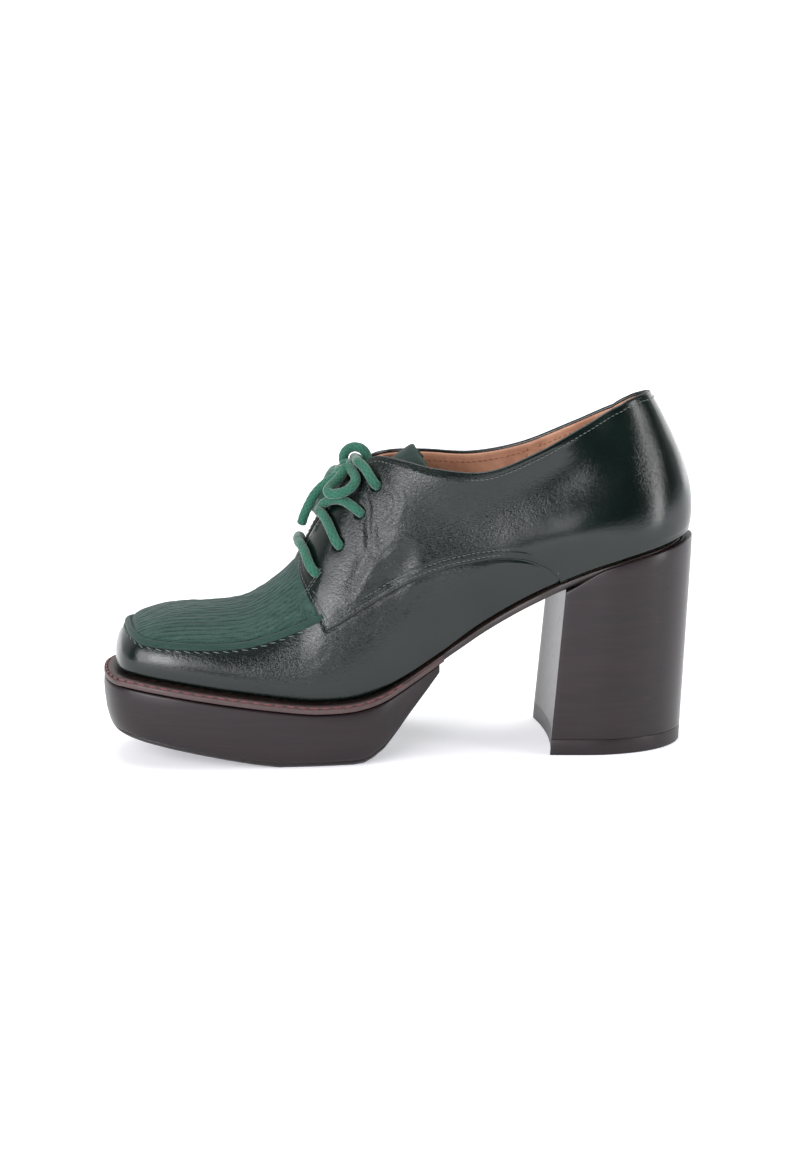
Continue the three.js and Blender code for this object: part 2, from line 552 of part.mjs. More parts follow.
function platform() {
  const ks = [0, 0.5, 1, 1.5, 2, 2.5, 3, 3.5, 4, 4.5, 5, 5.5, 6, 6.5, 7, 7.5, 8.04, 8.25, 8.42, 8.6, 8.78, 9.05, 9.3, 9.6, 9.86, 10.05, 10.2, 10.4, 10.6, 10.75, 10.9, 11.1];
  const points = [], faces = [], id = new Map();
  const n = ks.length, m = PLATFORM_SIDE.length;
  const topOf = (x) => footHeight(x) - 2 * LAYER_GAP - WELT;
  PLATFORM_SIDE.forEach((level, l) => {
    for (const side of [-1, 1])
      ks.forEach((k, i) => {
        if (i === 0 && side > 0) return id.set(`1,0,${l}`, id.get(`-1,0,${l}`));
        const [x, y] = outlinePoint(side, k, weltEdge(k) - level.inset * WELT_MARGIN * (1 - ramp(WELT_END - 3, WELT_END, k)));
        const low = Math.min(treadHeight(x), topOf(x) - PLATFORM_TAIL);
        id.set(`${side},${i},${l}`, points.length);
        points.push([x, y, mix(low, topOf(x), level.height)]);
      });
  });
  const v = (side, i, l) => id.get(`${side},${i},${l}`);
  const add = (a, b, c) => {
    if (a !== b && b !== c && c !== a) faces.push([a, b, c]);
  };
  for (let i = 0; i < n - 1; i++) {
    add(v(-1, i, m - 1), v(-1, i + 1, m - 1), v(1, i + 1, m - 1));
    add(v(-1, i, m - 1), v(1, i + 1, m - 1), v(1, i, m - 1));
    add(v(-1, i, 0), v(1, i + 1, 0), v(-1, i + 1, 0));
    add(v(-1, i, 0), v(1, i, 0), v(1, i + 1, 0));
    for (let l = 0; l < m - 1; l++) {
      add(v(-1, i, l), v(-1, i + 1, l), v(-1, i + 1, l + 1));
      add(v(-1, i, l), v(-1, i + 1, l + 1), v(-1, i, l + 1));
      add(v(1, i, l), v(1, i + 1, l + 1), v(1, i + 1, l));
      add(v(1, i, l), v(1, i, l + 1), v(1, i + 1, l + 1));
    }
  }
  for (let l = 0; l < m - 1; l++) {
    const [a, b, c, d] = [v(-1, n - 1, l), v(1, n - 1, l), v(1, n - 1, l + 1), v(-1, n - 1, l + 1)];
    add(a, b, c);
    add(a, c, d);
  }
  return surface(points, faces);
}

// ---- heel ----------------------------------------------------------------
// plan outline at height share h: 0 on the floor, 1 at the seat
const HEEL_SIDE = 9; // points down each side
const HEEL_FRONT = 6; // spans across the hollow front
function heelOutline(h, lip) {
  const list = [];
  const x1 = rows[LAST_ROW].x;
  const point = (side, k) => {
    const u = ramp(at("x", HEEL_START), x1, at("x", k)); // 0 at the front, 1 at the back
    const [x, y] = outlinePoint(side, k, mix(lip[0], lip[1], u * u));
    const shift = mix(HEEL_FOOT[0].share, HEEL_FOOT[1].share, u) * LAST_LENGTH * (1 - h);
    return [x - shift, y * (1 + HEEL_FOOT[1].value * (1 - h) * (1 - u))];
  };
  for (let i = 0; i <= HEEL_SIDE; i++) list.push(point(-1, mix(HEEL_START, LAST_ROW, i / HEEL_SIDE)));
  for (let i = HEEL_SIDE - 1; i >= 0; i--) list.push(point(1, mix(HEEL_START, LAST_ROW, i / HEEL_SIDE)));
  const a = list[list.length - 1], b = list[0];
  for (let i = 1; i < HEEL_FRONT; i++) {
    const u = i / HEEL_FRONT;
    list.push([mix(a[0], b[0], u) + BREAST_HOLLOW * 4 * u * (1 - u), mix(a[1], b[1], u)]);
  }
  return list;
}
// rings of equal count, closed with fans round a middle point
function stack(rings, lowMiddle, highMiddle) {
  const points = rings.flat(), faces = [];
  const n = rings[0].length;
  for (let r = 0; r < rings.length - 1; r++)
    for (let i = 0; i < n; i++) {
      const a = r * n + i, b = r * n + ((i + 1) % n), c = (r + 1) * n + ((i + 1) % n), d = (r + 1) * n + i;
      faces.push([a, b, c], [a, c, d]);
    }
  const low = points.push(lowMiddle) - 1, high = points.push(highMiddle) - 1;
  const last = (rings.length - 1) * n;
  for (let i = 0; i < n; i++) {
    faces.push([low, (i + 1) % n, i]);
    faces.push([high, last + i, last + ((i + 1) % n)]);
  }
  return surface(points, faces);
}
const seatBelow = (x) => footHeight(x) - 2 * LAYER_GAP - SOLE_SHEET;
function heelBlock() {
  const floor = TOP_LIFT + CLEARANCE;
  const top = seatBelow(rows[LAST_ROW].x);
  const share = floor / top;
  const rings = [];
  const lip = [HEEL_LIP, HEEL_BACK_LIP];
  const lowRing = heelOutline(share, lip).map(([x, y]) => [x, y, floor]);
  rings.push(lowRing);
  const rim = heelOutline(1, lip);
  for (const u of [0.35, 0.7])
    rings.push(heelOutline(mix(share, 1, u), lip).map(([x, y], i) => [x, y, mix(floor, seatBelow(rim[i][0]), u)]));
  // the rim stands a little up round the sheet at the back and sides
  const lipRise = (x) => LIP_RISE * mix(0.03, 1, ramp(at("x", HEEL_START), at("x", HEEL_START + 1), x));
  rings.push(rim.map(([x, y]) => [x, y, seatBelow(x) + lipRise(x)]));
  const inside = CLEARANCE * 2 - SEAT_RECESS;
  const inner = heelOutline(1, [inside, inside]);
  rings.push(inner.map(([x, y], i) => [x, y, seatBelow(x) + lipRise(rim[i][0])]));
  rings.push(inner.map(([x, y]) => [x, y, seatBelow(x)]));
  const mid = (at("x", HEEL_START) + rows[LAST_ROW].x) / 2;
  return stack(rings, [mid, 0, floor], [mid, 0, seatBelow(mid)]);
}
function topLift() {
  const top = seatBelow(rows[LAST_ROW].x);
  const rings = [0, TOP_LIFT].map((z) => heelOutline(z / top, [HEEL_LIP, HEEL_BACK_LIP]).map(([x, y]) => [x, y, z]));
  const mid = (at("x", HEEL_START) + rows[LAST_ROW].x) / 2;
  return stack(rings, [mid, 0, 0], [mid, 0, TOP_LIFT]);
}

// ---- tongue --------------------------------------------------------------
// centre line: x of LAST_LENGTH from the toe, height above the foot line at
// the ball of INSTEP_HEIGHT; half width and side drop of BALL_WIDTH
const TONGUE = table(["x", "height", "half", "drop"], [
  [0.318, 0.5, 0.13, 0.03],
  [0.353, 0.665, 0.19, 0.09],
  [0.39, 0.795, 0.21, 0.12],
  [0.425, 0.895, 0.22, 0.125],
  [0.46, 0.965, 0.22, 0.125],
  [0.493, 1.02, 0.2, 0.125],
  [0.514, 1.056, 0.16, 0.11],
  [0.527, 1.082, 0.09, 0.05],
]);
function tongue() {
  const across = 8;
  const centre = TONGUE.map((row) => new THREE.Vector3((row.x - 0.5) * LAST_LENGTH, 0, TREAD + row.height * INSTEP_HEIGHT));
  const top = [], bottom = [];
  TONGUE.forEach((row, i) => {
    const a = centre[Math.max(0, i - 1)], b = centre[Math.min(TONGUE.length - 1, i + 1)];
    const d = b.clone().sub(a).normalize();
    const up = new THREE.Vector3(-d.z, 0, d.x);
    const y0 = at("axis", rowAt(centre[i].x));
    for (let j = 0; j <= across; j++) {
      const v = (2 * j) / across - 1;
      const p = centre[i].clone().addScaledVector(up, -row.drop * BALL_WIDTH * Math.abs(v) ** 1.7);
      const tilt = Math.atan2(1.7 * row.drop * Math.abs(v) ** 0.7 * Math.sign(v), row.half);
      const n = up.clone().multiplyScalar(Math.cos(tilt));
      n.y = Math.sin(tilt);
      p.y = y0 + row.half * BALL_WIDTH * v;
      top.push(p.toArray());
      bottom.push(p.addScaledVector(n, -TONGUE_WALL).toArray());
    }
  });
  const points = [...top, ...bottom], faces = [];
  const w = across + 1, count = top.length;
  for (let i = 0; i < TONGUE.length - 1; i++)
    for (let j = 0; j < across; j++) {
      const a = i * w + j, b = a + 1, c = a + w + 1, d = a + w;
      faces.push([a, c, b], [a, d, c], [a + count, b + count, c + count], [a + count, c + count, d + count]);
    }
  const wall = (a, b) => faces.push([a, b, b + count], [a, b + count, a + count]);
  for (let i = 0; i < TONGUE.length - 1; i++) {
    wall((i + 1) * w, i * w);
    wall(i * w + across, (i + 1) * w + across);
  }
  for (let j = 0; j < across; j++) {
    wall(j, j + 1);
    const e = (TONGUE.length - 1) * w;
    wall(e + j + 1, e + j);
  }
  return surface(points, faces);
}

// ---- lace ----------------------------------------------------------------
// strands over the throat: eyelet row on the inner and outer side, the row
// where each passes the lacing edge, and the middle's lift in diameters
const STRANDS = table(["inner", "outer", "innerEdge", "outerEdge", "hump"], [
  [0, 0, 6.42, 6.42, 0.1],
  [1, 2, 7.2, 7.4, -0.5],
  [2, 1, 7.3, 7.15, -0.5],
  [3, 3, 8.62, 8.62, 0.1],
]);
function strand({ inner, outer, innerEdge, outerEdge, hump }) {
  const lift = OVERLAY + LACE_DIAMETER / 2 + LACE_STAND;
  const half = (side, i, edge) => {
    const { k, t } = eyelet(side, i);
    return [0, 0.33, 0.66, 0.92].map((u) => lifted(side, mix(k, edge, u), mix(t, 1, u), lift));
  };
  const near = half(-1, inner, innerEdge), far = half(1, outer, outerEdge).reverse();
  const a = near[near.length - 1], b = far[0];
  const middle = [(a[0] + b[0]) / 2, (a[1] + b[1]) / 2, (a[2] + b[2]) / 2 + hump * LACE_DIAMETER];
  return cord([...near, middle, ...far], LACE_DIAMETER / 2, 14, 8);
}
function crossing() {
  return fair(toGeometry(wasm.Manifold.union(toManifold(strand(STRANDS[1])), toManifold(strand(STRANDS[2])))));
}
// the bow: points of cord middles, as they lie
const BOW = {
  lace_loop_near: [[-24.6, -8.6, 114.1], [-27.2, -10.7, 111.7], [-29.8, -13.4, 110.0], [-31.0, -16.2, 108.8], [-29.8, -18.3, 108.0], [-26.8, -18.8, 108.3], [-23.8, -18.3, 109.1], [-21.3, -17.4, 110.7], [-19.7, -15.7, 112.8], [-19.9, -12.6, 114.6]],
  lace_loop_far: [[-15.4, -1.4, 114.8], [-14.1, -0.8, 116.7], [-13.8, -0.2, 118.9], [-14.6, 0.4, 121.1], [-16.3, 1.0, 122.6], [-18.5, 1.6, 123.1], [-20.7, 2.2, 122.5], [-22.4, 2.8, 120.9], [-23.1, 3.4, 118.8], [-22.8, 4.0, 116.5], [-21.3, 4.6, 114.7]],
  lace_end_near: [[-24.5, -1.8, 113.5], [-27.9, -0.4, 110.6], [-31.7, 0.6, 107.6], [-35.1, 1.2, 103.8], [-37.5, 1.2, 99.5], [-39.4, 0.8, 95.3], [-40.7, -0.0, 91.4]],
  lace_end_far: [[-24.4, 9.1, 112.2], [-26.2, 15.1, 110.8], [-28, 21.1, 106.2], [-29.4, 26.7, 99.8], [-30.4, 30.7, 92.4]],
};
const KNOT = { centre: [-23.1, -4.0, 116.0], size: [3, 3.4, 2.8] };
function knot() {
  const g = new THREE.SphereGeometry(1, 12, 8);
  g.scale(...KNOT.size);
  g.rotateY(-0.6);
  g.translate(...KNOT.centre);
  return weld(g);
}

// ---- assembly ------------------------------------------------------------
const insole = plate(0, LAST_ROW, 0.5, () => -(WALL + 3 * CLEARANCE), -INSOLE, 0);
const soleSheet = plate(0, LAST_ROW, 0.25, sheetEdge, LAYER_GAP, LAYER_GAP + SOLE_SHEET);

const group = new THREE.Group();
group.name = "heeled_derby_shoe";
group.add(solid("upper", upper(), 0x24352f, 0.35));
group.add(solid("tongue", tongue(), 0x33473e, 0.8));
group.add(solid("insole", insole, 0xa9764c, 0.7));
group.add(solid("welt", welt(), 0x4a2f30, 0.6));
group.add(solid("sole_sheet", soleSheet, 0x5a4740, 0.6));
group.add(solid("platform", platform(), 0x3d2f31, 0.5));
group.add(solid("heel_block", fair(heelBlock()), 0x3d2f31, 0.5));
group.add(solid("top_lift", topLift(), 0x332a2b, 0.6));
group.add(solid("lace_bar_low", strand(STRANDS[0]), 0x2f8a63, 0.9));
group.add(solid("lace_crossing", crossing(), 0x2f8a63, 0.9));
group.add(solid("lace_bar_top", strand(STRANDS[3]), 0x2f8a63, 0.9));
group.add(solid("lace_knot", knot(), 0x2f8a63, 0.9));
for (const [name, points] of Object.entries(BOW)) group.add(solid(name, cord(points, LACE_DIAMETER / 2, 14, 8), 0x2f8a63, 0.9));

// the origin is under the middle of the shoe's box, without the free cord
const box = new THREE.Box3();
for (const mesh of group.children)
  if (mesh.name !== "lace_knot" && !(mesh.name in BOW)) box.union(new THREE.Box3().setFromBufferAttribute(mesh.geometry.attributes.position));
for (const mesh of group.children) mesh.geometry.translate(-(box.min.x + box.max.x) / 2, -(box.min.y + box.max.y) / 2, -box.min.z);

export default group;
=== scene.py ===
# %% [markdown]
# # A heeled derby shoe
# The object is a right-foot derby shoe on a platform sole with a tall block
# heel. Its measured model comes in as a fixed frame; this lesson dresses that
# frame with leather, ribbed suede, thread, lace and polished wood. Lengths in
# the script are millimetres, and they become metres when a mesh is made.

# %% Load the frame
import math

import bmesh
import bpy
import numpy as np
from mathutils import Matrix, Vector, noise
from mathutils.bvhtree import BVHTree
from mathutils.kdtree import KDTree


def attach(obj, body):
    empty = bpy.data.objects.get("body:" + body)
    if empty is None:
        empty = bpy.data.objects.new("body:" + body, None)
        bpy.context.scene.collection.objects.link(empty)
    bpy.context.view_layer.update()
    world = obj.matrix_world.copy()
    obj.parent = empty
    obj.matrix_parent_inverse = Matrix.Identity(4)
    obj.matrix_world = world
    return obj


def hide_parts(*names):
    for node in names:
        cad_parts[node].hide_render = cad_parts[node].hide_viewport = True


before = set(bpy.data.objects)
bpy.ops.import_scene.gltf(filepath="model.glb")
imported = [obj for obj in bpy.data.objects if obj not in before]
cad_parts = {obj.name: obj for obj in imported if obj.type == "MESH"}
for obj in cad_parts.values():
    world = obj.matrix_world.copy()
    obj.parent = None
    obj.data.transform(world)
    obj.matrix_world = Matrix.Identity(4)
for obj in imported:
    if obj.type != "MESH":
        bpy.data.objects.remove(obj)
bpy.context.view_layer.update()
MM = 0.001


def put(name, data):
    """Adds an object to the scene."""
    made = bpy.data.objects.new(name, data)
    bpy.context.scene.collection.objects.link(made)
    return made


print("frame loaded:", len(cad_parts), "nodes")

# %% [markdown]
# ## Camera
# The photograph looks at the inner side of the shoe from a little above, with
# a long lens. The camera is aimed with the same turn and height, and a long
# focal length keeps the far side nearly as large as the near one.

# %% Camera
VIEW_TURN = math.radians(-5.0)
VIEW_HEIGHT = math.radians(13.0)
VIEW_DISTANCE = 1.7
LENS, SENSOR = 130.2, 36
PICTURE = (800, 1156)
AIM = Vector((0.00115, -0.00319, 0.066))  # this point of the shoe ...
AIM_PIXEL = (401.2, 584.6)  # ... shows here in the photograph


def aim_camera():
    level = math.cos(VIEW_HEIGHT)
    back = Vector((math.sin(VIEW_TURN) * level, -math.cos(VIEW_TURN) * level, math.sin(VIEW_HEIGHT)))
    right = Vector((0, 0, 1)).cross(back).normalized()
    up = back.cross(right)
    pixel = VIEW_DISTANCE / (LENS / SENSOR * PICTURE[1])
    x, y = (AIM_PIXEL[i] - PICTURE[i] / 2 for i in (0, 1))
    data = bpy.data.cameras.new("photo_camera")
    data.lens = LENS
    data.clip_start, data.clip_end = 0.05, 50
    camera = put("photo_camera", data)
    camera.location = AIM + back * VIEW_DISTANCE - right * x * pixel + up * y * pixel
    camera.rotation_mode = "QUATERNION"
    camera.rotation_quaternion = (-back).to_track_quat("-Z", "Y")
    bpy.context.scene.camera = camera
    return camera


camera = aim_camera()
print("camera at", tuple(round(c, 3) for c in camera.location))

# %% [markdown]
# ## The last
# A shoe is built over a last, a solid foot form. Its skin is described by a
# few cross sections, and a point on it by three numbers: how far along the
# sections, on which side, and how far up the wall. Every leather piece below
# is cut out of this one skin, so neighbours always meet.

# %% The last's table, with the shoe's sizes in millimetres
LAST_LENGTH, BALL_WIDTH, SEAT_WIDTH, COLLAR_WIDTH, THROAT_GAP = 231.8, 75, 54.4, 52, 13
PLATFORM_THICKNESS, HEEL_RISE, TOE_SPRING, TREAD_SPRING = 22, 60.2, 11, 14
TOE_HEIGHT, INSTEP_HEIGHT, BACK_HEIGHT = 24, 92, 58
WELT, LAYER_GAP, WELT_MARGIN, WELT_INSIDE, SOLE_SHEET = 3, 0.4, 5.2, 6, 3
SEAT_RECESS, HEEL_LIP, HEEL_BACK_LIP, LIP_RISE, BREAST_HOLLOW, TOP_LIFT = 1.2, 1.3, 3, 3, 2.6, 6.5
PLATFORM_TAIL, CLEARANCE, WALL, OVERLAY, INSOLE = 1.2, 0.3, 2, 1, 2
LACE_DIAMETER, EYELET_INSET, LACE_STAND = 4, 12.5, 0.8
TREAD = PLATFORM_THICKNESS + WELT + 2 * LAYER_GAP
TOE_PIVOT, THROAT_START, THROAT_END, HEEL_PIVOT = 4, 6, 9, 15
SHIFT = np.array([1.152, -3.1945, 0.0])  # the frame's origin is under the box's middle
COLUMNS = (
    "x", "med", "lat", "seat", "axis", "spring", "rise", "toe", "instep", "back", "fall", "edge", "flare",
    "lift", "crown", "drop", "seam",
)
LAST = np.array([
    [0.0, -0.093, -0.093, 0, -0.04, 0.982, 0, 0.992, 0, 0, 0, 0, 0.027, 0.546, 0.44, 0.05, 0.7],
    [0.0082, -0.28, 0.1, 0, -0.04, 1, 0, 0.983, 0, 0, 0, 0, 0.033, 0.551, 0.44, 0.051, 0.668],
    [0.0367, -0.387, 0.24, 0, -0.04, 0.945, 0, 1.008, 0, 0, 0, 0, 0.04, 0.537, 0.427, 0.05, 0.6],
    [0.0841, -0.432, 0.353, 0, -0.04, 0.782, 0, 1.083, 0, 0, 0, 0, 0.053, 0.519, 0.36, 0.031, 0.59],
    [0.1531, -0.453, 0.44, 0, -0.04, 0.527, 0, 1.2, 0, 0, 0, 0, 0.067, 0.486, 0.307, 0.014, 0.601],
    [0.2351, -0.461, 0.507, 0, -0.02, 0.255, 0, 1.003, 0.112, 0, 0, 0, 0.08, 0.436, 0.28, 0, 0.62],
    [0.3128, -0.461, 0.541, 0, -0.007, 0.045, 0, 0.732, 0.355, 0, 0, 0, 0.08, 0.339, 0.267, 0, 0.588],
    [0.3559, -0.456, 0.547, 0, 0, 0, 0, 0.282, 0.662, 0, 0.009, 0.769, 0.08, 0.325, 0.227, 0.059, 0.52],
    [0.4034, -0.44, 0.541, 0, 0.007, 0, 0.008, 0, 0.904, 0, 0.026, 1, 0.073, 0.337, 0.213, 0.072, 0.5],
    [0.4465, -0.411, 0.528, 0, 0.011, 0, 0.043, 0, 0.996, 0, 0.055, 1.462, 0.067, 0.349, 0.2, 0.109, 0.5],
    [0.4896, -0.384, 0.526, 0.1, 0.014, 0, 0.11, 0, 0.722, 0.382, 0.062, 0.75, 0.075, 0.361, 0.123, 0.181, 0.5],
    [0.55, -0.355, 0.526, 0.3, 0.017, 0, 0.243, 0, 0.422, 0.669, 0.028, 0.942, 0.094, 0.387, 0.073, 0.258, 0.5],
    [0.6363, -0.339, 0.525, 0.55, 0.019, 0, 0.462, 0, 0.171, 0.815, 0.028, 1, 0.11, 0.381, 0.063, 0.349, 0.5],
    [0.7226, -0.383, 0.537, 0.75, 0.017, 0, 0.654, 0, 0, 1.003, 0.076, 0.923, 0.101, 0.378, 0.076, 0.344, 0.5],
    [0.8089, -0.446, 0.546, 0.9, 0.014, 0, 0.804, 0, 0, 1.017, 0.092, 0.731, 0.089, 0.339, 0.106, 0.339, 0.5],
    [0.8779, -0.478, 0.522, 1, 0.009, 0, 0.894, 0, 0, 1.052, 0.078, 0.481, 0.074, 0.311, 0.138, 0.328, 0.5],
    [0.9426, -0.386, 0.415, 1, 0.009, 0, 0.953, 0, 0, 1.034, 0.048, 0.423, 0.074, 0.308, 0.175, 0.333, 0.5],
    [0.9858, -0.202, 0.224, 1, 0.009, 0, 0.99, 0, 0, 1.007, 0.018, 0.462, 0.092, 0.317, 0.202, 0.342, 0.5],
    [1.0, 0.009, 0.009, 1, 0.009, 0, 1, 0, 0, 0.998, 0, 0.492, 0.107, 0.32, 0.211, 0.345, 0.5],
])
LAST_ROW = len(LAST) - 1


def last_sections():
    c = {name: LAST[:, i] for i, name in enumerate(COLUMNS)}
    width = BALL_WIDTH + (SEAT_WIDTH - BALL_WIDTH) * c["seat"]
    wall = c["toe"] * TOE_HEIGHT + c["instep"] * INSTEP_HEIGHT + c["back"] * BACK_HEIGHT
    opening = np.where(np.arange(LAST_ROW + 1) <= THROAT_END, THROAT_GAP, COLLAR_WIDTH) / 2
    made = {name: c[name] * width for name in ("med", "lat", "axis", "flare", "crown")}
    made |= {name: c[name] * wall for name in ("lift", "drop")}
    made |= {"x": (c["x"] - 0.5) * LAST_LENGTH, "wall": wall, "seam": c["seam"]}
    made |= {"base": TREAD + c["spring"] * TOE_SPRING + c["rise"] * HEEL_RISE}
    made |= {"fall": c["fall"] * BACK_HEIGHT, "edge": c["edge"] * opening}
    return made


SECTION = last_sections()
TWIN = {"med": "lat", "lat": "med"}
print("the last has", LAST_ROW + 1, "sections, from toe to heel")

# %% [markdown]
# The sections are joined by a smooth curve in each number of the table. From
# them come the skin's points, the direction straight out of the leather, and
# the direction up the wall.

# %% A smooth skin through the sections


def smooth_step(p0, p1, p2, p3, u):
    """A smooth curve from p1 to p2 that also heeds the points before and after."""
    return p1 + 0.5 * u * (p2 - p0 + u * (2 * p0 - 5 * p1 + 4 * p2 - p3 + u * (3 * (p1 - p2) + p3 - p0)))


def at(name, k):
    """A section's value at a fractional section number, on a smooth curve."""
    k = np.clip(np.asarray(k, float), 0, LAST_ROW)
    i = np.minimum(LAST_ROW - 1, np.floor(k).astype(int))
    u = k - i
    own, twin = SECTION[name], SECTION[TWIN.get(name, name)]
    a, b = own[i], own[i + 1]
    before = np.where(i > 0, own[np.maximum(i - 1, 0)], twin[1])
    after = np.where(i + 2 <= LAST_ROW, own[np.minimum(i + 2, LAST_ROW)], twin[LAST_ROW - 1])
    return smooth_step(before, a, b, after, u)


def skin(s, t):
    """Point on the last. |s| is the section number, s is negative on the inner side; t goes from 0 at
    the sole to 1 at the top."""
    s, t = np.broadcast_arrays(np.asarray(s, float), np.asarray(t, float))
    s = np.where(s > LAST_ROW, s - 2 * LAST_ROW, np.where(s < -LAST_ROW, s + 2 * LAST_ROW, s))
    k, inner = np.abs(s), s < 0
    x = at("x", k)
    y = np.where(inner, at("med", k), at("lat", k))
    kp = np.maximum(k, TOE_PIVOT)
    xa = np.clip(x, SECTION["x"][TOE_PIVOT], SECTION["x"][HEEL_PIVOT])
    ya, base = at("axis", kp), at("base", k)
    top = at("base", kp) + at("wall", kp) - np.where(inner, 0, np.maximum(0, at("fall", kp))) - base
    reach = np.hypot(x - xa, y - ya)
    edge = np.where(k <= THROAT_START, 0, np.maximum(0, at("edge", k)))
    w0, w1, w2, w3 = (1 - t) ** 3, 3 * t * (1 - t) ** 2, 3 * t * t * (1 - t), t ** 3
    rho = w0 * reach + w1 * (reach + at("flare", k)) + w2 * (edge + at("crown", k)) + w3 * edge
    up = w1 * at("lift", k) + w2 * (top - at("drop", k)) + w3 * top
    return np.stack([xa + (x - xa) / reach * rho, ya + (y - ya) / reach * rho, base + up], -1) + SHIFT


def unit(v):
    return v / np.maximum(np.linalg.norm(v, axis=-1, keepdims=True), 1e-9)


def outward(s, t, e=0.02):
    s, t = np.broadcast_arrays(np.asarray(s, float), np.asarray(t, float))
    t = np.clip(t, e, 1 - 1.5 * e)
    return -unit(np.cross(skin(s + e, t) - skin(s - e, t), skin(s, t + e) - skin(s, t - e)))


def upward(s, t, e=0.01):
    return unit(skin(s, np.minimum(1, t + e)) - skin(s, np.maximum(0, t - e)))


def over(s, t, height):
    """A point that stands this many millimetres off the last."""
    return skin(s, t) + outward(s, t) * np.asarray(height, float)[..., None]


SEAM_ROWS = np.linspace(0, 8, 161)


def apron_seam_table(side):
    """The apron's seam is drawn at a share of the wall's height; this finds its t."""
    ts = np.linspace(0, 1, 401)
    found = []
    for k in SEAM_ROWS:
        kp = max(k, TOE_PIVOT)
        base = at("base", k)
        goal = base + at("seam", k) * (at("base", kp) + at("wall", kp) - base)
        z = skin(side * np.maximum(k, 1e-6), ts)[:, 2]
        found.append(np.interp(goal, z, ts))
    return np.array(found)


SEAM_TABLE = {side: apron_seam_table(side) for side in (-1, 1)}


def apron_seam(s):
    s = np.asarray(s, float)
    inner, outer = (np.interp(np.abs(s), SEAM_ROWS, SEAM_TABLE[side]) for side in (-1, 1))
    return np.where(s < 0, inner, outer)


print("skin reaches from", skin(0, 0).round(1), "to", skin(18, 1).round(1))

# %% [markdown]
# ## Lines drawn on the leather
# A pattern cutter draws seams on the last. Here a line is a short list of
# places, turned into a smooth curve, and then into points spaced evenly in
# millimetres.

# %% Drawing lines


def smooth_line(rows, count):
    """Smooth curve through rows of numbers, sampled evenly by row."""
    rows = np.asarray(rows, float)
    ends = np.vstack([2 * rows[0] - rows[1], rows, 2 * rows[-1] - rows[-2]])
    v = np.linspace(0, len(rows) - 1, count)
    i = np.minimum(len(rows) - 2, v.astype(int))
    u = (v - i)[:, None]
    return smooth_step(ends[i], ends[i + 1], ends[i + 2], ends[i + 3], u)


def run_of(points):
    return np.concatenate([[0], np.cumsum(np.linalg.norm(np.diff(points, axis=0), axis=1))])


def even(rows, points, step):
    """Rows resampled so that the points they belong to lie evenly spaced."""
    run = run_of(points)
    goal = np.linspace(0, run[-1], max(2, int(round(run[-1] / step)) + 1))
    return np.stack([np.interp(goal, run, rows[:, c]) for c in range(rows.shape[1])], 1)


def steps_along(lines):
    """Length of each step, for many lines at once."""
    return np.linalg.norm(np.diff(lines, axis=1), axis=2)


def runs_of(lines):
    step = steps_along(lines)
    return np.concatenate([np.zeros((len(lines), 1)), np.cumsum(step, 1)], 1)


def ramp(a, b, v):
    """Rises softly from 0 at a to 1 at b."""
    u = np.clip((v - a) / (b - a), 0, 1)
    return u * u * (3 - 2 * u)


print("a line along the inner wall is", round(run_of(skin(-np.linspace(0, 18, 400), 0.5))[-1]), "mm long")


# %% [markdown]
# The quarter is the back half of the upper. Its edge runs down beside the
# laces, turns a corner, sweeps back over the waist and dips to the sole at
# the heel. The first list is that edge, the second pairs each of its points
# with a section on the top line, so that the sheet can be spanned between.

# %% The quarter's outline: section, height, and the paired section at the top
QUARTER_FRONT = [
    [6.30, 0.985, 6.36], [6.20, 0.95, 6.5], [6.12, 0.88, 6.65], [6.11, 0.81, 6.8], [6.13, 0.74, 7.0],
    [6.24, 0.66, 7.25],
    [6.40, 0.575, 7.55], [6.70, 0.48, 7.9], [6.93, 0.41, 8.2], [7.08, 0.363, 8.45],
]
QUARTER_LOW = [
    [7.08, 0.363, 8.45], [7.52, 0.352, 8.8], [8.25, 0.35, 9.3], [9.07, 0.355, 9.85], [9.91, 0.388, 10.4],
    [10.55, 0.413, 10.85],
    [11.07, 0.431, 11.25], [11.48, 0.441, 11.6], [11.87, 0.436, 11.95], [12.27, 0.40, 12.35], [12.68, 0.319, 12.75],
    [12.97, 0.244, 13.05], [13.28, 0.144, 13.38], [13.48, 0.05, 13.6], [13.62, 0, 13.75], [14.5, 0, 14.55],
    [15.5, 0, 15.5],
    [16.4, 0, 16.4], [17.3, 0, 17.3], [18, 0, 18],
]


def quarter_edge(side, step=0.6):
    """The edge's even points, and the number of the one at the corner."""
    parts = []
    for rows in (QUARTER_FRONT, QUARTER_LOW):
        line = smooth_line(rows, 400)
        line[:, 1] = np.clip(line[:, 1], 0, 1)
        line[:, [0, 2]] = np.clip(line[:, [0, 2]], 6, LAST_ROW)
        parts.append(even(line, skin(side * line[:, 0], line[:, 1]), step=step))
    return np.vstack([parts[0], parts[1][1:]]), len(parts[0]) - 1


def spanned(edge, share):
    """Places at a share of the way from each point of the edge to its partner on the top line."""
    k, t, top = (column[:, None] for column in edge.T)
    return k + (top - k) * share, t + (1 - t) * share


print("the inner quarter's edge has", len(quarter_edge(-1)[0]), "points")
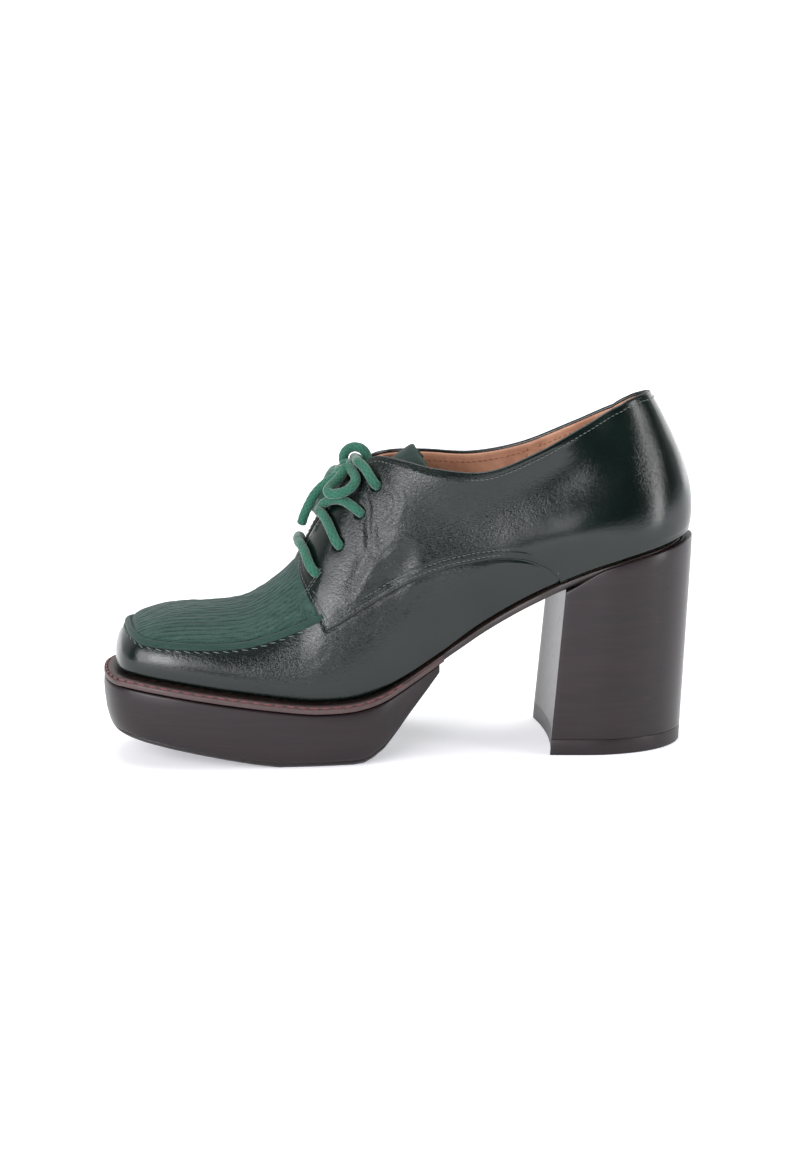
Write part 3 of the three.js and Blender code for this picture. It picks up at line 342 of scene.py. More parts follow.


# %% [markdown]
# ## Creases
# Walking folds leather. Each fold is placed as a line on the last,
# with a width, a depth and whether it is a trough or a ridge. The surface is
# pushed in along the line and bulges slightly beside it, and the push fades
# at both ends.

# %% Creases: side, width mm, depth mm, places (section, height)
CREASES = [
    # folds pulled by the upper eyelets
    (-1, 1.4, 0.75, [(8.45, 0.90), (8.6, 0.83), (8.78, 0.72), (8.72, 0.64), (8.72, 0.56), (8.5, 0.51)]),
    (-1, 1.5, 0.45, [(9.3, 0.88), (9.55, 0.82), (9.88, 0.765), (9.72, 0.68), (9.25, 0.62), (8.95, 0.58)]),
    (-1, 2.2, 0.5, [(8.68, 0.56), (8.4, 0.50), (8.1, 0.46), (7.85, 0.40)]),
    (-1, 4.2, 1.2, [(10.5, 0.57), (10.24, 0.53), (9.88, 0.45), (9.5, 0.40), (9.2, 0.37)]),
    (-1, 3.4, -0.7, [(9.3, 0.56), (8.75, 0.47), (8.1, 0.42), (7.6, 0.40)]),
    (-1, 1.2, 0.35, [(10.0, 0.57), (9.6, 0.545), (9.1, 0.50)]),
    (-1, 1.1, 0.3, [(9.95, 0.52), (9.5, 0.49), (9.1, 0.46)]),
    # the long soft hollow behind the waist
    (-1, 12.0, 3.0, [
        (9.9, 0.53), (10.8, 0.62), (11.7, 0.70), (12.28, 0.745), (13.09, 0.745), (13.89, 0.72), (14.5, 0.69),
        (14.95, 0.67),
    ]),
    # vamp: the ball's flex creases
    (-1, 1.8, 0.12, [(6.9, 0.36), (6.5, 0.33), (6.1, 0.31), (5.7, 0.30)]),
    (-1, 1.6, 0.12, [(7.3, 0.29), (6.9, 0.26), (6.4, 0.25), (6.0, 0.24)]),
    (-1, 1.5, 0.15, [(7.6, 0.24), (7.2, 0.20), (6.8, 0.185)]),
    (-1, 1.6, 0.2, [(9.2, 0.32), (8.9, 0.28), (8.6, 0.22)]),
    (-1, 1.4, 0.3, [(10.6, 0.37), (10.3, 0.33), (10.1, 0.27)]),
    # the outer side folds likewise, a little differently
    (1, 1.6, 0.9, [(8.95, 0.90), (8.8, 0.80), (8.7, 0.68), (8.6, 0.56)]),
    (1, 1.3, 0.6, [(9.4, 0.86), (9.3, 0.74), (9.1, 0.64)]),
    (1, 2.6, 0.6, [(9.5, 0.60), (9.2, 0.52), (8.9, 0.43)]),
    (1, 2.8, 0.5, [(10.2, 0.60), (9.9, 0.52), (9.5, 0.46)]),
    (1, 9.0, 1.8, [(11.4, 0.60), (12.0, 0.64), (12.6, 0.68), (13.3, 0.72), (14.1, 0.74), (14.9, 0.72)]),
    (1, 1.4, 0.3, [(12.2, 0.52), (12.8, 0.55), (13.5, 0.58)]),
    (1, 1.8, 0.35, [(6.8, 0.35), (6.3, 0.31), (5.8, 0.29)]),
    (1, 1.6, 0.3, [(7.3, 0.27), (6.8, 0.24), (6.2, 0.23)]),
]


def crease_lines():
    made = []
    for side, width, depth, places in CREASES:
        line = smooth_line(places, 400)
        line = even(line, skin(side * line[:, 0], line[:, 1]), step=0.6)
        made.append((side, width, depth, skin(side * line[:, 0], line[:, 1])))
    return made


CREASE_LINES = crease_lines()


FOLD_FADE = 0.32  # share of a fold's length over which it fades at each end
BULGE, BULGE_AT, BULGE_WIDTH = 0.38, 1.9, 0.8  # the rise beside a fold, in shares of its depth and width


def creased(points, side_of):
    """How far each point is pushed out by the folds, in millimetres."""
    push = np.zeros(len(points))
    for side, width, depth, line in CREASE_LINES:
        low, high = line.min(0) - 4 * width, line.max(0) + 4 * width
        near = np.where((np.sign(side_of) == side) & np.all((points > low) & (points < high), axis=1))[0]
        if not len(near):
            continue
        gap = np.linalg.norm(points[near][:, None] - line[None], axis=2)
        nearest = gap.argmin(1)
        d = gap[np.arange(len(near)), nearest] / width
        share = nearest / (len(line) - 1)
        fade = ramp(0, FOLD_FADE, np.minimum(share, 1 - share))
        push[near] += depth * fade * (-np.exp(-d ** 2) + BULGE * np.exp(-((d - BULGE_AT) / BULGE_WIDTH) ** 2))
    return push


# where the finish is crinkled: side (0 is both), section, height, reach along, reach up, strength
CRINKLED = [
    (-1, 9.0, 0.70, 0.7, 0.22, 0.8),
    (0, 10.4, 0.74, 1.5, 0.26, 1.0), (0, 11.9, 0.72, 1.1, 0.16, 0.9), (0, 12.9, 0.62, 0.8, 0.12, 0.3),
    (0, 8.4, 0.50, 1.3, 0.30, 0.7),
    (0, 6.4, 0.24, 1.3, 0.13, 1.0), (0, 9.3, 0.33, 1.2, 0.10, 0.8), (0, 10.9, 0.40, 1.0, 0.06, 0.9),
    (0, 4.0, 0.36, 1.6, 0.10, 0.45), (0, 15.8, 0.62, 0.7, 0.25, 0.35),
]


def crinkling(s, t):
    """How crinkled the finish is at each place, from 0 to 1."""
    total = 0.16 + np.zeros(np.broadcast(s, t).shape)
    for side, k, height, wide, high, amount in CRINKLED:
        spot = np.exp(-((np.abs(s) - k) / wide) ** 2 - ((t - height) / high) ** 2)
        total = total + amount * (side * s >= 0) * spot
    return np.clip(total, 0, 1)


TUCK_DEPTH, TUCK_HEIGHT = 2.2, 1.9


def tuck(rise):
    """How far the upper's foot is drawn in towards the sole, by the height over it."""
    return -TUCK_DEPTH * np.clip(1 - rise / TUCK_HEIGHT, 0, 1) ** 1.7


def wander(points, size, seed=0.0):
    """Smooth noise at each point, from -1 to 1, with features of this size in millimetres."""
    return np.array([noise.noise(Vector(p) / size + Vector((seed, 0.37 * seed, 1.7 * seed))) for p in points])


print(len(CREASE_LINES), "creases")

# %% [markdown]
# ## Meshes from grids
# Each sheet is a grid of points. One helper turns a grid into a mesh, closes
# it round if needed, and can hand over painted values for the materials.

# %% Mesh helpers


def mesh_piece(name, points, faces, closed=False):
    mesh = bpy.data.meshes.new(name)
    mesh.from_pydata((np.asarray(points) * MM).tolist(), [], [tuple(int(i) for i in f) for f in faces])
    mesh.validate()
    for polygon in mesh.polygons:
        polygon.use_smooth = True
    piece = put(name, mesh)
    if closed:
        outward_faces(piece)
    return piece


def grid_faces(rows, columns, wrap_columns=False, start=0, flip=False):
    across = columns if wrap_columns else columns - 1
    i, j = np.meshgrid(np.arange(rows - 1), np.arange(across), indexing="ij")
    after = (j + 1) % columns
    a, b = start + i * columns + j, start + i * columns + after
    c, d = b + columns, a + columns
    return np.stack([a, d, c, b] if flip else [a, b, c, d], -1).reshape(-1, 4)


def tube_faces(rings, n):
    """Faces of a tube of rings, with a fan at each end round two points that follow the rings."""
    faces, last = [*grid_faces(rings, n, wrap_columns=True)], (rings - 1) * n
    for i in range(n):
        j = (i + 1) % n
        faces += [(rings * n, j, i), (rings * n + 1, last + i, last + j)]
    return faces


def paint(piece, name, values):
    """Stores one number a point, for the material to read."""
    attribute = piece.data.attributes.new(name, "FLOAT", "POINT")
    attribute.data.foreach_set("value", np.asarray(values, np.float32).ravel())


def triangles(piece):
    return sum(len(p.vertices) - 2 for p in piece.data.polygons)


def grid_normals(grid):
    """Normals of a grid of points, whose rows and columns turn right-handed outwards."""
    a = np.gradient(grid, axis=0)
    b = np.gradient(grid, axis=1)
    return unit(np.cross(a, b))


def sheet_piece(name, grid, thickness, rounding=5):
    """A closed sheet: the grid as its face, its back below, and a round rim."""
    n = grid_normals(grid)
    rows, cols = grid.shape[:2]
    back = grid - n * thickness
    loop = [(i, 0) for i in range(rows)] + [(rows - 1, j) for j in range(1, cols)]
    loop += [(i, cols - 1) for i in range(rows - 2, -1, -1)] + [(0, j) for j in range(cols - 2, 0, -1)]
    r, c = np.array(loop).T
    face, normal = grid[r, c], n[r, c]
    ahead = np.roll(face, -1, 0) - np.roll(face, 1, 0)
    side = unit(np.cross(normal, ahead))
    middle = face.mean(0)
    if np.sum(side * (face - middle)) < 0:
        side = -side
    centre = face - normal * thickness / 2
    rim = []
    for q in range(1, rounding):
        a = math.pi * q / rounding
        rim.append(centre + normal * math.cos(a) * thickness / 2 + side * math.sin(a) * thickness / 2)
    points = np.vstack([grid.reshape(-1, 3), back.reshape(-1, 3)] + rim)
    count = rows * cols
    faces = [*grid_faces(rows, cols, flip=True), *grid_faces(rows, cols, start=count)]
    groove_shade = [2 * count + q * len(loop) + np.arange(len(loop)) for q in range(rounding - 1)]
    ring = [r * cols + c, *groove_shade, count + r * cols + c]
    for a, b in zip(ring[:-1], ring[1:]):
        faces += list(np.stack([a, np.roll(a, -1), np.roll(b, -1), b], -1))
    return mesh_piece(name, points, faces, closed=True)


def outward_faces(piece):
    """Turns all faces of a closed mesh the same way, outwards."""
    made = bmesh.new()
    made.from_mesh(piece.data)
    bmesh.ops.remove_doubles(made, verts=made.verts, dist=1e-7)
    bmesh.ops.recalc_face_normals(made, faces=made.faces)
    made.to_mesh(piece.data)
    made.free()


print("a grid of 3 by 4 points has", len(grid_faces(3, 4)), "faces")


# %% [markdown]
# ## Quarters
# The quarters are one sheet of leather a side, laid a millimetre over the
# vamp. The edge is folded, so it starts under the surface and rounds up to
# its full height, and at the top line the leather rolls over to the inside.

# %% Quarters
# distance in from the edge, and height in shares of the overlay
EDGE_ROUND = [(0, -0.35), (0.02, 0.3), (0.14, 0.68), (0.38, 0.92), (0.8, 1.0)]
# distance below the top line, height over the last, and rise past the line
ROLL = [
    (1.3, 1.0, 0), (0.6, 1.0, 0), (0, 0.95, 0.12), (0, 0.72, 0.5), (0, 0.35, 0.72), (0, -0.05, 0.72),
    (0, -0.45, 0.5), (0, -0.7, 0.1), (0.8, -0.8, 0), (2.4, -0.8, 0),
]
DOUBLE_SEAM = (1.7, 3.9)  # how far the two rows of stitches lie in from the edge
# the eyelets: share of the throat's length, and distance from its edge in insets
EYELET_PLACES = [(0.25, 1.75), (0.533, 1.8), (0.81, 1.56), (1.04, 1.0)]


def find_eyelet(side, i):
    """Place of an eyelet: its section, and how far it lies in from the lacing edge, along the leather."""
    place, inset = EYELET_PLACES[i]
    k = THROAT_START + (THROAT_END - THROAT_START) * place
    ts = 1 - np.arange(0, 141) * 0.005
    run = run_of(skin(side * k, ts))
    return k, float(np.interp(inset * EYELET_INSET, run, ts))


EYELETS = {(side, i): find_eyelet(side, i) for side in (-1, 1) for i in range(4)}


def eyelet_dimples(points, side_of):
    """Each eyelet is a hole whose rim the lace pulls down."""
    push = np.zeros(len(points))
    for (side, i), (k, t) in EYELETS.items():
        d = np.linalg.norm(points - over(side * k, t, OVERLAY), axis=1)
        hit = np.sign(side_of) == side
        push -= hit * (2.6 * np.exp(-(d / 2.05) ** 6) + 0.35 * np.exp(-(d / 3.6) ** 2))
    return push


def quarter(side):
    edge = quarter_edge(side)[0]
    n = len(edge)
    k, t = spanned(edge, np.linspace(0, 1, 60))
    length = steps_along(skin(side * k, t)).sum(1)
    inner = 96
    body = np.linspace(0, 1, inner)
    rows = []
    squeeze = np.minimum(1, length / 6)  # a narrow part gets narrower rims
    a = EDGE_ROUND[-1][0] * squeeze / length
    b = 1 - ROLL[0][0] * squeeze / length
    for d, off in EDGE_ROUND[:-1]:
        rows.append((d * squeeze / length, np.full(n, off * OVERLAY), np.zeros(n)))
    for v in body:
        rows.append((a + (b - a) * v, np.full(n, float(OVERLAY)), np.zeros(n)))
    for d, off, rise in ROLL[1:]:
        rows.append((1 - d * squeeze / length, np.full(n, off), np.full(n, rise)))
    v, off, rise = (np.stack(x, 1) for x in zip(*rows))
    k, t = spanned(edge, v)
    s = side * k
    outer = over(s, t, OVERLAY)
    flat = outer.reshape(-1, 3)
    push = (creased(flat, s.ravel()) + eyelet_dimples(flat, s.ravel())).reshape(s.shape)
    push += 0.10 * wander(flat, 9.0, 3.0).reshape(s.shape)
    on_face = np.zeros(len(rows))
    on_face[len(EDGE_ROUND) - 1:len(EDGE_ROUND) - 1 + inner] = 1
    fade = np.clip(np.minimum(v * length[:, None] / 2.5, (1 - v) * length[:, None] / 3.5), 0, 1)
    push = push * (fade * on_face)
    # the double seam draws the leather down
    d_edge = v * length[:, None]
    for row in DOUBLE_SEAM:
        push -= 0.16 * on_face * np.exp(-((d_edge - row) / 0.45) ** 2)
    foot = skin(s, t)
    off = off + tuck(foot[..., 2] - at("base", np.abs(s)))
    grid = foot + outward(s, t) * (off + push)[..., None] + upward(s, t) * rise[..., None]
    name = "quarter_inner" if side < 0 else "quarter_outer"
    piece = mesh_piece(name, grid.reshape(-1, 3), grid_faces(n, len(rows), flip=side > 0))
    paint(piece, "crinkle", crinkling(s, t))
    return piece


quarters = [quarter(-1), quarter(1)]
print("quarters:", [triangles(q) for q in quarters], "triangles")

# %% [markdown]
# ## Vamp
# The vamp wraps the forepart from waist to waist round the toe, below the
# apron, and runs on under the quarters. Its lower edge is pulled in toward
# the sole, which leaves the dark gap over the welt.

# %% Vamp
VAMP_TOP = [
    (6.6, 0.45), (7.0, 0.44), (7.5, 0.425), (8.25, 0.42), (9.07, 0.425), (9.91, 0.46), (10.55, 0.485),
    (11.48, 0.51), (11.87, 0.505), (12.27, 0.47), (12.68, 0.40), (13.0, 0.33), (13.3, 0.24), (13.6, 0.15),
    (14.0, 0.08),
]
VAMP_END = 14.0
# the lowest rows of points lie close together, at these distances up the wall
TUCK_ROWS = [0, 0.25, 0.55, 0.9, 1.3, 1.7, 2.2]


def vamp_top(s):
    k = np.abs(s)
    back = np.interp(k, [p[0] for p in VAMP_TOP], [p[1] for p in VAMP_TOP])
    return np.where(k < VAMP_TOP[0][0], apron_seam(np.sign(s) * np.minimum(k, 6.7)), back)


def vamp():
    s = np.linspace(-VAMP_END, VAMP_END, 3000)
    foot = skin(s, 0.2)
    s = even(s[:, None], foot, step=0.62)[:, 0]
    top = vamp_top(s)
    ts = np.linspace(0, 1, 30)
    length = steps_along(skin(s[:, None], top[:, None] * ts)).sum(1)
    rows = [(np.minimum(0.9, d / length), np.full(len(s), float(tuck(d)))) for d in TUCK_ROWS]
    start = np.minimum(0.9, TUCK_ROWS[-1] / length)
    rows += [(start + (1 - start) * v, np.zeros(len(s))) for v in np.linspace(0, 1, 58)[1:]]
    v, off = (np.stack(x, 1) for x in zip(*rows))
    t = v * top[:, None]
    ss = np.broadcast_to(s[:, None], t.shape)
    base = skin(ss, t)
    flat = base.reshape(-1, 3)
    push = (creased(flat, np.where(ss == 0, 1, ss).ravel()) + 0.12 * wander(flat, 11.0, 5.0)).reshape(t.shape)
    push *= np.clip(v * length[:, None] / 3, 0, 1)
    # the quarter's edge presses a groove
    for side in (-1, 1):
        edge = quarter_edge(side, step=0.5)[0]
        tree = KDTree(len(edge))
        for i, p in enumerate(skin(side * edge[:, 0], edge[:, 1])):
            tree.insert(p, i)
        tree.balance()
        gap = np.array([tree.find(p)[2] for p in flat]).reshape(t.shape)
        push -= 0.5 * np.exp(-(gap / 0.95) ** 2)
    # under the quarters the vamp steps down out of sight
    hidden = np.clip((np.abs(ss) - 7.2) / 0.4, 0, 1) * np.clip((v - 0.9) / 0.06, 0, 1)
    grid = base + outward(ss, t) * (off + push - 0.25 * hidden)[..., None]
    piece = mesh_piece("vamp", grid.reshape(-1, 3), grid_faces(*t.shape))
    paint(piece, "crinkle", crinkling(ss, t))
    return piece


vamp_piece = vamp()
print("vamp:", triangles(vamp_piece), "triangles")

# %% [markdown]
# ## Apron
# The apron is the panel over the toes. It is ribbed suede, with the ribs
# running along the foot. To keep them parallel the panel is spanned in plan,
# station by station, and dropped on the skin from above by ray casting.

# %% Apron
APRON_END = 7.0
RIB_PITCH, RIB_HEIGHT = 2.2, 0.55


def skin_tree():
    """A dense copy of the skin, to drop points on."""
    s = np.linspace(-9, 9, 721)
    t = np.linspace(0.2, 1, 90)
    points = skin(s[:, None], t[None])
    return BVHTree.FromPolygons(points.reshape(-1, 3).tolist(), grid_faces(len(s), len(t)).tolist())


def apron():
    tree = skin_tree()
    ks = np.linspace(0, APRON_END, 800)
    near = skin(-ks, apron_seam(-np.maximum(ks, 1e-6)))
    far = skin(ks, apron_seam(ks))
    x0, x1 = near[0, 0] + 0.02, min(near[-1, 0], far[-1, 0]) - 0.05
    stations = x0 + (x1 - x0) * np.linspace(0, 1, 190) ** 1.35
    across = np.linspace(0, 1, 260)
    y0, z0, y1, z1 = (np.interp(stations, seam[:, 0], seam[:, c]) for seam in (near, far) for c in (1, 2))
    grid = np.zeros((len(stations), len(across), 3))
    for i, x in enumerate(stations):
        for j, f in enumerate(across):
            y = y0[i] + (y1[i] - y0[i]) * f
            hit = tree.ray_cast(Vector((x, y, 300)), Vector((0, 0, -1)))[0]
            grid[i, j] = (x, y, hit.z if hit else z0[i] + (z1[i] - z0[i]) * f)
    normal = -grid_normals(grid)
    normal[normal[..., 2] < 0] *= -1
    run = runs_of(grid)
    middle = SHIFT[1] + at("axis", np.interp(stations - SHIFT[0], SECTION["x"], np.arange(LAST_ROW + 1.0)))
    centre = np.array([np.interp(m, grid[i, :, 1], run[i]) for i, m in enumerate(middle)])
    w = run - centre[:, None]
    flat = np.stack([grid[..., 0] / 7, w / 1.6, np.zeros_like(w)], -1).reshape(-1, 3)
    sway = 0.10 * wander(flat, 2.6, 2.0) + 0.12 * wander(flat * [0.25, 0.3, 1], 1.0, 11.0)
    phase = (w + sway.reshape(w.shape)) / RIB_PITCH
    phase -= np.round(phase)
    rib = np.sqrt(np.clip(1 - np.abs(2 * phase) ** 5.0, 0, 1))
    strength = np.clip(0.9 + 0.6 * wander(flat * [1.6, 0.7, 1], 1.0, 7.0).reshape(w.shape), 0.2, 1.2)
    rim = np.minimum(run, run[:, -1:] - run)
    front = grid[..., 0] - x0
    inside = np.clip(np.minimum(rim, front * 1.2) / 3.0, 0, 1)
    reach = np.clip((np.minimum(rim, front) - 1.8) / 1.5, 0, 1)
    push = -0.55 * (1 - inside) + RIB_HEIGHT * rib * strength * reach
    grid = grid + normal * push[..., None]
    piece = mesh_piece("apron", grid.reshape(-1, 3), grid_faces(*w.shape))
    # the rib's profile; the suede darkens its grooves from it as painted shade
    paint(piece, "rib", 1 - (1 - rib) * np.clip(strength, 0, 1))
    return piece


apron_piece = apron()
print("apron:", triangles(apron_piece), "triangles")

# %% [markdown]
# ## Rolled border
# A rolled strip of suede covers the join of apron and vamp. A half-round
# profile is swept along the seam.

# %% Rolled border


def sweep_on_skin(name, s, t, profile):
    """Sweeps a profile of (sideways, height) in millimetres along a line on the last."""
    path = skin(s, t)
    n = outward(s, t)
    ahead = unit(np.gradient(path, axis=0))
    side = unit(np.cross(ahead, n))
    grid = np.stack([path + side * u + n * h for u, h in profile], 1)
    faces = grid_faces(len(s), len(profile), wrap_columns=True)
    return mesh_piece(name, grid.reshape(-1, 3), faces, closed=True)


def seam_line(limit, step, down=0.0):
    """Even places along the apron's seam, moved down the wall by some millimetres."""
    s = np.linspace(-limit, limit, 3000)
    s = np.where(np.abs(s) < 1e-6, 1e-6, s)
    t = apron_seam(s)
    slope = np.linalg.norm(skin(s, t + 0.01) - skin(s, t - 0.01), axis=1) / 0.02
    rows = np.stack([s, t - down / slope], 1)
    return even(rows, skin(rows[:, 0], rows[:, 1]), step=step)


BORDER_PROFILE = [(1.45 * math.cos(a), 0.15 + 1.15 * math.sin(a)) for a in np.radians(np.linspace(-35, 215, 16))]
line = seam_line(6.95, 0.8)
border = sweep_on_skin("apron_border", line[:, 0], line[:, 1], BORDER_PROFILE)
print("border:", triangles(border), "triangles")

# %% [markdown]
# ## Lining
# Inside is a thin tan lining. It is the same skin, two millimetres in, with
# its cut edge just under the rolled top line.

# %% Lining
LINING_SEAM, SEAM_HALF = 13.25, 0.13  # section of the lining's upright seam, and of its rows beside that


def lining_fold(s, t):
    """The lining follows the quarter's folds, and lies still at its top."""
    return creased(over(s, t, OVERLAY), s) * np.clip((1 - t) * 8, 0, 1)


def lining(side):
    k = np.linspace(0, LAST_ROW, 2000)
    k = even(k[:, None], skin(side * k, 0.6), step=1.0)[:, 0]
    k[-1] = LAST_ROW
    length = steps_along(skin(side * k[:, None], np.linspace(0, 1, 30))).sum(1)
    rows = [(0.35, -0.85), (0.15, -1.2), (0.2, -1.7), (0.7, -WALL)]
    down = np.linspace(1, 0, 50)[1:]
    v = [1 - d / length for d, off in rows] + [u * (1 - rows[-1][0] / length) for u in down]
    off = [off for d, off in rows] + [-float(WALL)] * len(down)
    t, off = np.stack(v, 1), np.tile(off, (len(k), 1))
    s = np.broadcast_to(side * k[:, None], t.shape)
    seam = np.exp(-((np.abs(s) - LINING_SEAM) / 0.09) ** 2) * 0.35
    foot = skin(s, t)
    off = off - seam * (off <= -WALL) + tuck(0.75 * (foot[..., 2] - at("base", np.abs(s))))
    fold = lining_fold(s.ravel(), t.ravel()).reshape(s.shape)
    grid = foot + outward(s, t) * (off + fold)[..., None]
    return grid, grid_faces(*t.shape, flip=side < 0)


def both_linings():
    (a, fa), (b, fb) = lining(-1), lining(1)
    points = np.vstack([a.reshape(-1, 3), b.reshape(-1, 3)])
    return mesh_piece("lining", points, [*fa, *(fb + a.shape[0] * a.shape[1])])


lining_piece = both_linings()
print("lining:", triangles(lining_piece), "triangles")

# %% [markdown]
# ## Tongue
# The tongue is a suede sheet that arches under the laces and ends in a
# rounded tip above the instep.

# %% Tongue
# its middle's place, height, half width, drop of the sides and how far they lag, by share of the shoe
TONGUE = [
    [0.318, 0.5, 0.13, 0.03, 0], [0.353, 0.665, 0.19, 0.09, 0], [0.39, 0.795, 0.21, 0.12, 0],
    [0.425, 0.895, 0.22, 0.125, 0], [0.46, 0.965, 0.215, 0.125, 0.5],
    [0.486, 1.010, 0.20, 0.125, 2.0], [0.502, 1.040, 0.185, 0.125, 4.0], [0.511, 1.056, 0.168, 0.12, 5.2],
    [0.516, 1.064, 0.145, 0.108, 5.6], [0.5185, 1.067, 0.115, 0.09, 5.0],
]


def tongue():
    rows = smooth_line(TONGUE, 120)
    x = (rows[:, 0] - 0.5) * LAST_LENGTH
    z = TREAD + rows[:, 1] * INSTEP_HEIGHT
    half, drop, sweep = rows[:, 2] * BALL_WIDTH, rows[:, 3] * BALL_WIDTH, rows[:, 4]
    d = unit(np.stack([np.gradient(x), np.gradient(z)], 1))
    v = np.linspace(-1, 1, 61)
    y0 = at("axis", np.interp(x, SECTION["x"], np.arange(LAST_ROW + 1.0)))
    fall = -drop[:, None] * np.abs(v) ** 2.1
    sweep = sweep[:, None]
    along = x[:, None] - d[:, 1:2] * fall * np.clip(1 - sweep / 2, 0, 1) + sweep * np.abs(v) ** 2.2
    up = z[:, None] + np.maximum(0.8, d[:, 0:1]) * fall
    grid = np.stack([along, y0[:, None] + half[:, None] * v, up], -1) + SHIFT
    return sheet_piece("tongue_suede", grid, 2.0)


tongue_piece = tongue()
print("tongue:", triangles(tongue_piece), "triangles")

# %% [markdown]
# ## Welt, waist edge, platform and heel
# Under the upper lie flat layers that share the foot's outline, moved in or
# out by a margin. First come that outline in plan, the height of the foot's
# underside, and the margins of the welt, which run out to nothing at the
# waist.

# %% The foot's outline


def outline(s, off):
    """Plan points of the foot's outline, moved out by a margin in millimetres."""
    def read(c):
        c = np.where(c > LAST_ROW, c - 2 * LAST_ROW, np.where(c < -LAST_ROW, c + 2 * LAST_ROW, c))
        k = np.abs(c)
        return np.stack([at("x", k), np.where(c < 0, at("med", k), at("lat", k))], -1)
    p = read(s)
    d = unit(read(s + 0.05) - read(s - 0.05))
    return p + np.stack([-d[..., 1], d[..., 0]], -1) * np.asarray(off, float)[..., None]


def foot_height(x):
    """The foot's underside above the floor, running on past toe and heel."""
    base, xs = SECTION["base"], SECTION["x"]
    k = np.linspace(0, LAST_ROW, 2000)
    z = at("base", np.interp(x, at("x", k), k))
    z = np.where(x < xs[0], base[0] + (base[0] - base[3]) / (xs[0] - xs[3]) * (x - xs[0]), z)
    return np.where(x > xs[-1], base[-1] + (base[-1] - base[-3]) / (xs[-1] - xs[-3]) * (x - xs[-1]), z)


WELT_END = 11.2  # sections at which the welt ends ...
HEEL_START = 13.62  # ... and at which the heel begins


def welt_edge(k):
    return WELT_MARGIN * (1 - 0.96 * ramp(WELT_END - 2.6, WELT_END, k))


def welt_inner(k):
    return WELT_INSIDE * (1 - 0.85 * ramp(WELT_END - 2.2, WELT_END, k))


def place(xy, z):
    return np.concatenate([xy, np.asarray(z)[..., None]], -1) + SHIFT


def even_sections(limit, step):
    s = np.linspace(-limit, limit, 4000)
    return even(s[:, None], outline(s, 0), step=step)[:, 0]


print("the foot's outline is", round(run_of(outline(even_sections(LAST_ROW, 1.0), 0))[-1]), "mm round")

# %% [markdown]
# The welt is a strip of leather that the upper is sewn to. Its profile has a
# rounded rim, and a channel for the stitches, and it is swept round the
# forepart. The number painted on it says how far a point lies inward.

# %% Welt
# share of the width from the outside, height above the underside
WELT_PROFILE = [
    (0.0, 0.5), (0.0, 1.75), (0.008, 2.05), (0.026, 2.2), (0.045, 2.16), (0.06, 1.92), (0.085, 1.86), (0.115, 2.02),
    (0.135, 2.35), (0.15, 2.6), (0.18, 2.82), (0.23, 2.94), (0.3, 3.0), (1.0, 3.0), (1.0, 0.0), (0.05, 0.0),
    (0.008, 0.2),
]


STITCH_CHANNEL = (0.09, 2.3)


def welt_point(s, share, height):
    k = np.abs(s)
    xy = outline(s, welt_edge(k) - share * (welt_edge(k) + welt_inner(k)))
    return place(xy, foot_height(xy[:, 0]) - LAYER_GAP - WELT + height)


def welt():
    s = even_sections(WELT_END, 0.8)
    grid = np.stack([welt_point(s, share, height) for share, height in WELT_PROFILE], 1)
    n, m = grid.shape[:2]
    ends = [tuple(range(m)), tuple(range(n * m - 1, n * m - 1 - m, -1))]
    piece = mesh_piece("welt_strip", grid.reshape(-1, 3), [*grid_faces(n, m, wrap_columns=True), *ends])
    # the share inward; the finish reads it for the stitch channel and for painted shade under the upper
    paint(piece, "inward", np.tile([share for share, height in WELT_PROFILE], n))
    outward_faces(piece)
    return piece


welt_piece = welt()
print("welt:", triangles(welt_piece), "triangles")

# %% [markdown]
# The platform, the sole's edge at the waist and the insole are closed plates.
# Each is a stack of rings, and a list gives every ring's height and how far
# it lies inward.

# %% Platform, waist edge and insole


def plate(name, limit, step, profile, ring):
    """A closed plate with one ring for each row of the profile; both caps are spanned side to side."""
    s = even_sections(limit, step)
    s = s[s > 0]
    s = np.concatenate([-s[::-1], [0], s])
    n = len(s)
    faces = [*grid_faces(len(profile), n, wrap_columns=True)]
    for first in (0, (len(profile) - 1) * n):
        for i in range(n // 2):
            a, d = first + i, first + n - 1 - i
            corners = tuple(dict.fromkeys((a, a + 1, d - 1, d)))
            if len(corners) >= 3:
                faces.append(corners)
    return mesh_piece(name, np.vstack([ring(s, *row) for row in profile]), faces, closed=True)


# the tread by share of the shoe: its rise at the toe, and its rise behind the ball
TREAD_LINE = np.array([
    [-0.0235, 0.99, 0], [-0.006, 0.93, 0], [0.035, 0.79, 0], [0.085, 0.59, 0], [0.137, 0.4, 0],
    [0.189, 0.225, 0], [0.235, 0.085, 0], [0.275, 0, 0],
    [0.405, 0, 0], [0.423, 0, 0.02], [0.438, 0, 0.1], [0.46, 0, 0.275], [0.485, 0, 0.6], [0.502, 0, 0.84],
    [0.537, 0, 1.3], [0.554, 0, 1.54], [0.573, 0, 1.82],
])


def tread_height(x):
    spring, rear = (np.interp(x / LAST_LENGTH + 0.5, TREAD_LINE[:, 0], TREAD_LINE[:, c]) for c in (1, 2))
    return spring * TREAD_SPRING + rear * PLATFORM_THICKNESS


PLATFORM_SIDE = [
    (0, 0.95), (0.004, 0.80), (0.02, 0.68), (0.045, 0.57), (0.075, 0.49), (0.08, 0.515), (0.095, 0.515),
    (0.10, 0.44), (0.15, 0.36), (0.25, 0.24), (0.35, 0.155), (0.45, 0.1), (0.6, 0.03), (0.8, -0.02),
    (0.95, 0.01), (0.985, 0.05), (1, 0.14),
]
PLATFORM_END = 11.1


def platform_ring(s, share, inset):
    k = np.abs(s)
    xy = outline(s, welt_edge(k) - inset * WELT_MARGIN * (1 - ramp(WELT_END - 3, WELT_END, k)))
    top = foot_height(xy[:, 0]) - 2 * LAYER_GAP - WELT
    low = np.minimum(tread_height(xy[:, 0]), top - PLATFORM_TAIL)
    return place(xy, low + (top - low) * share)


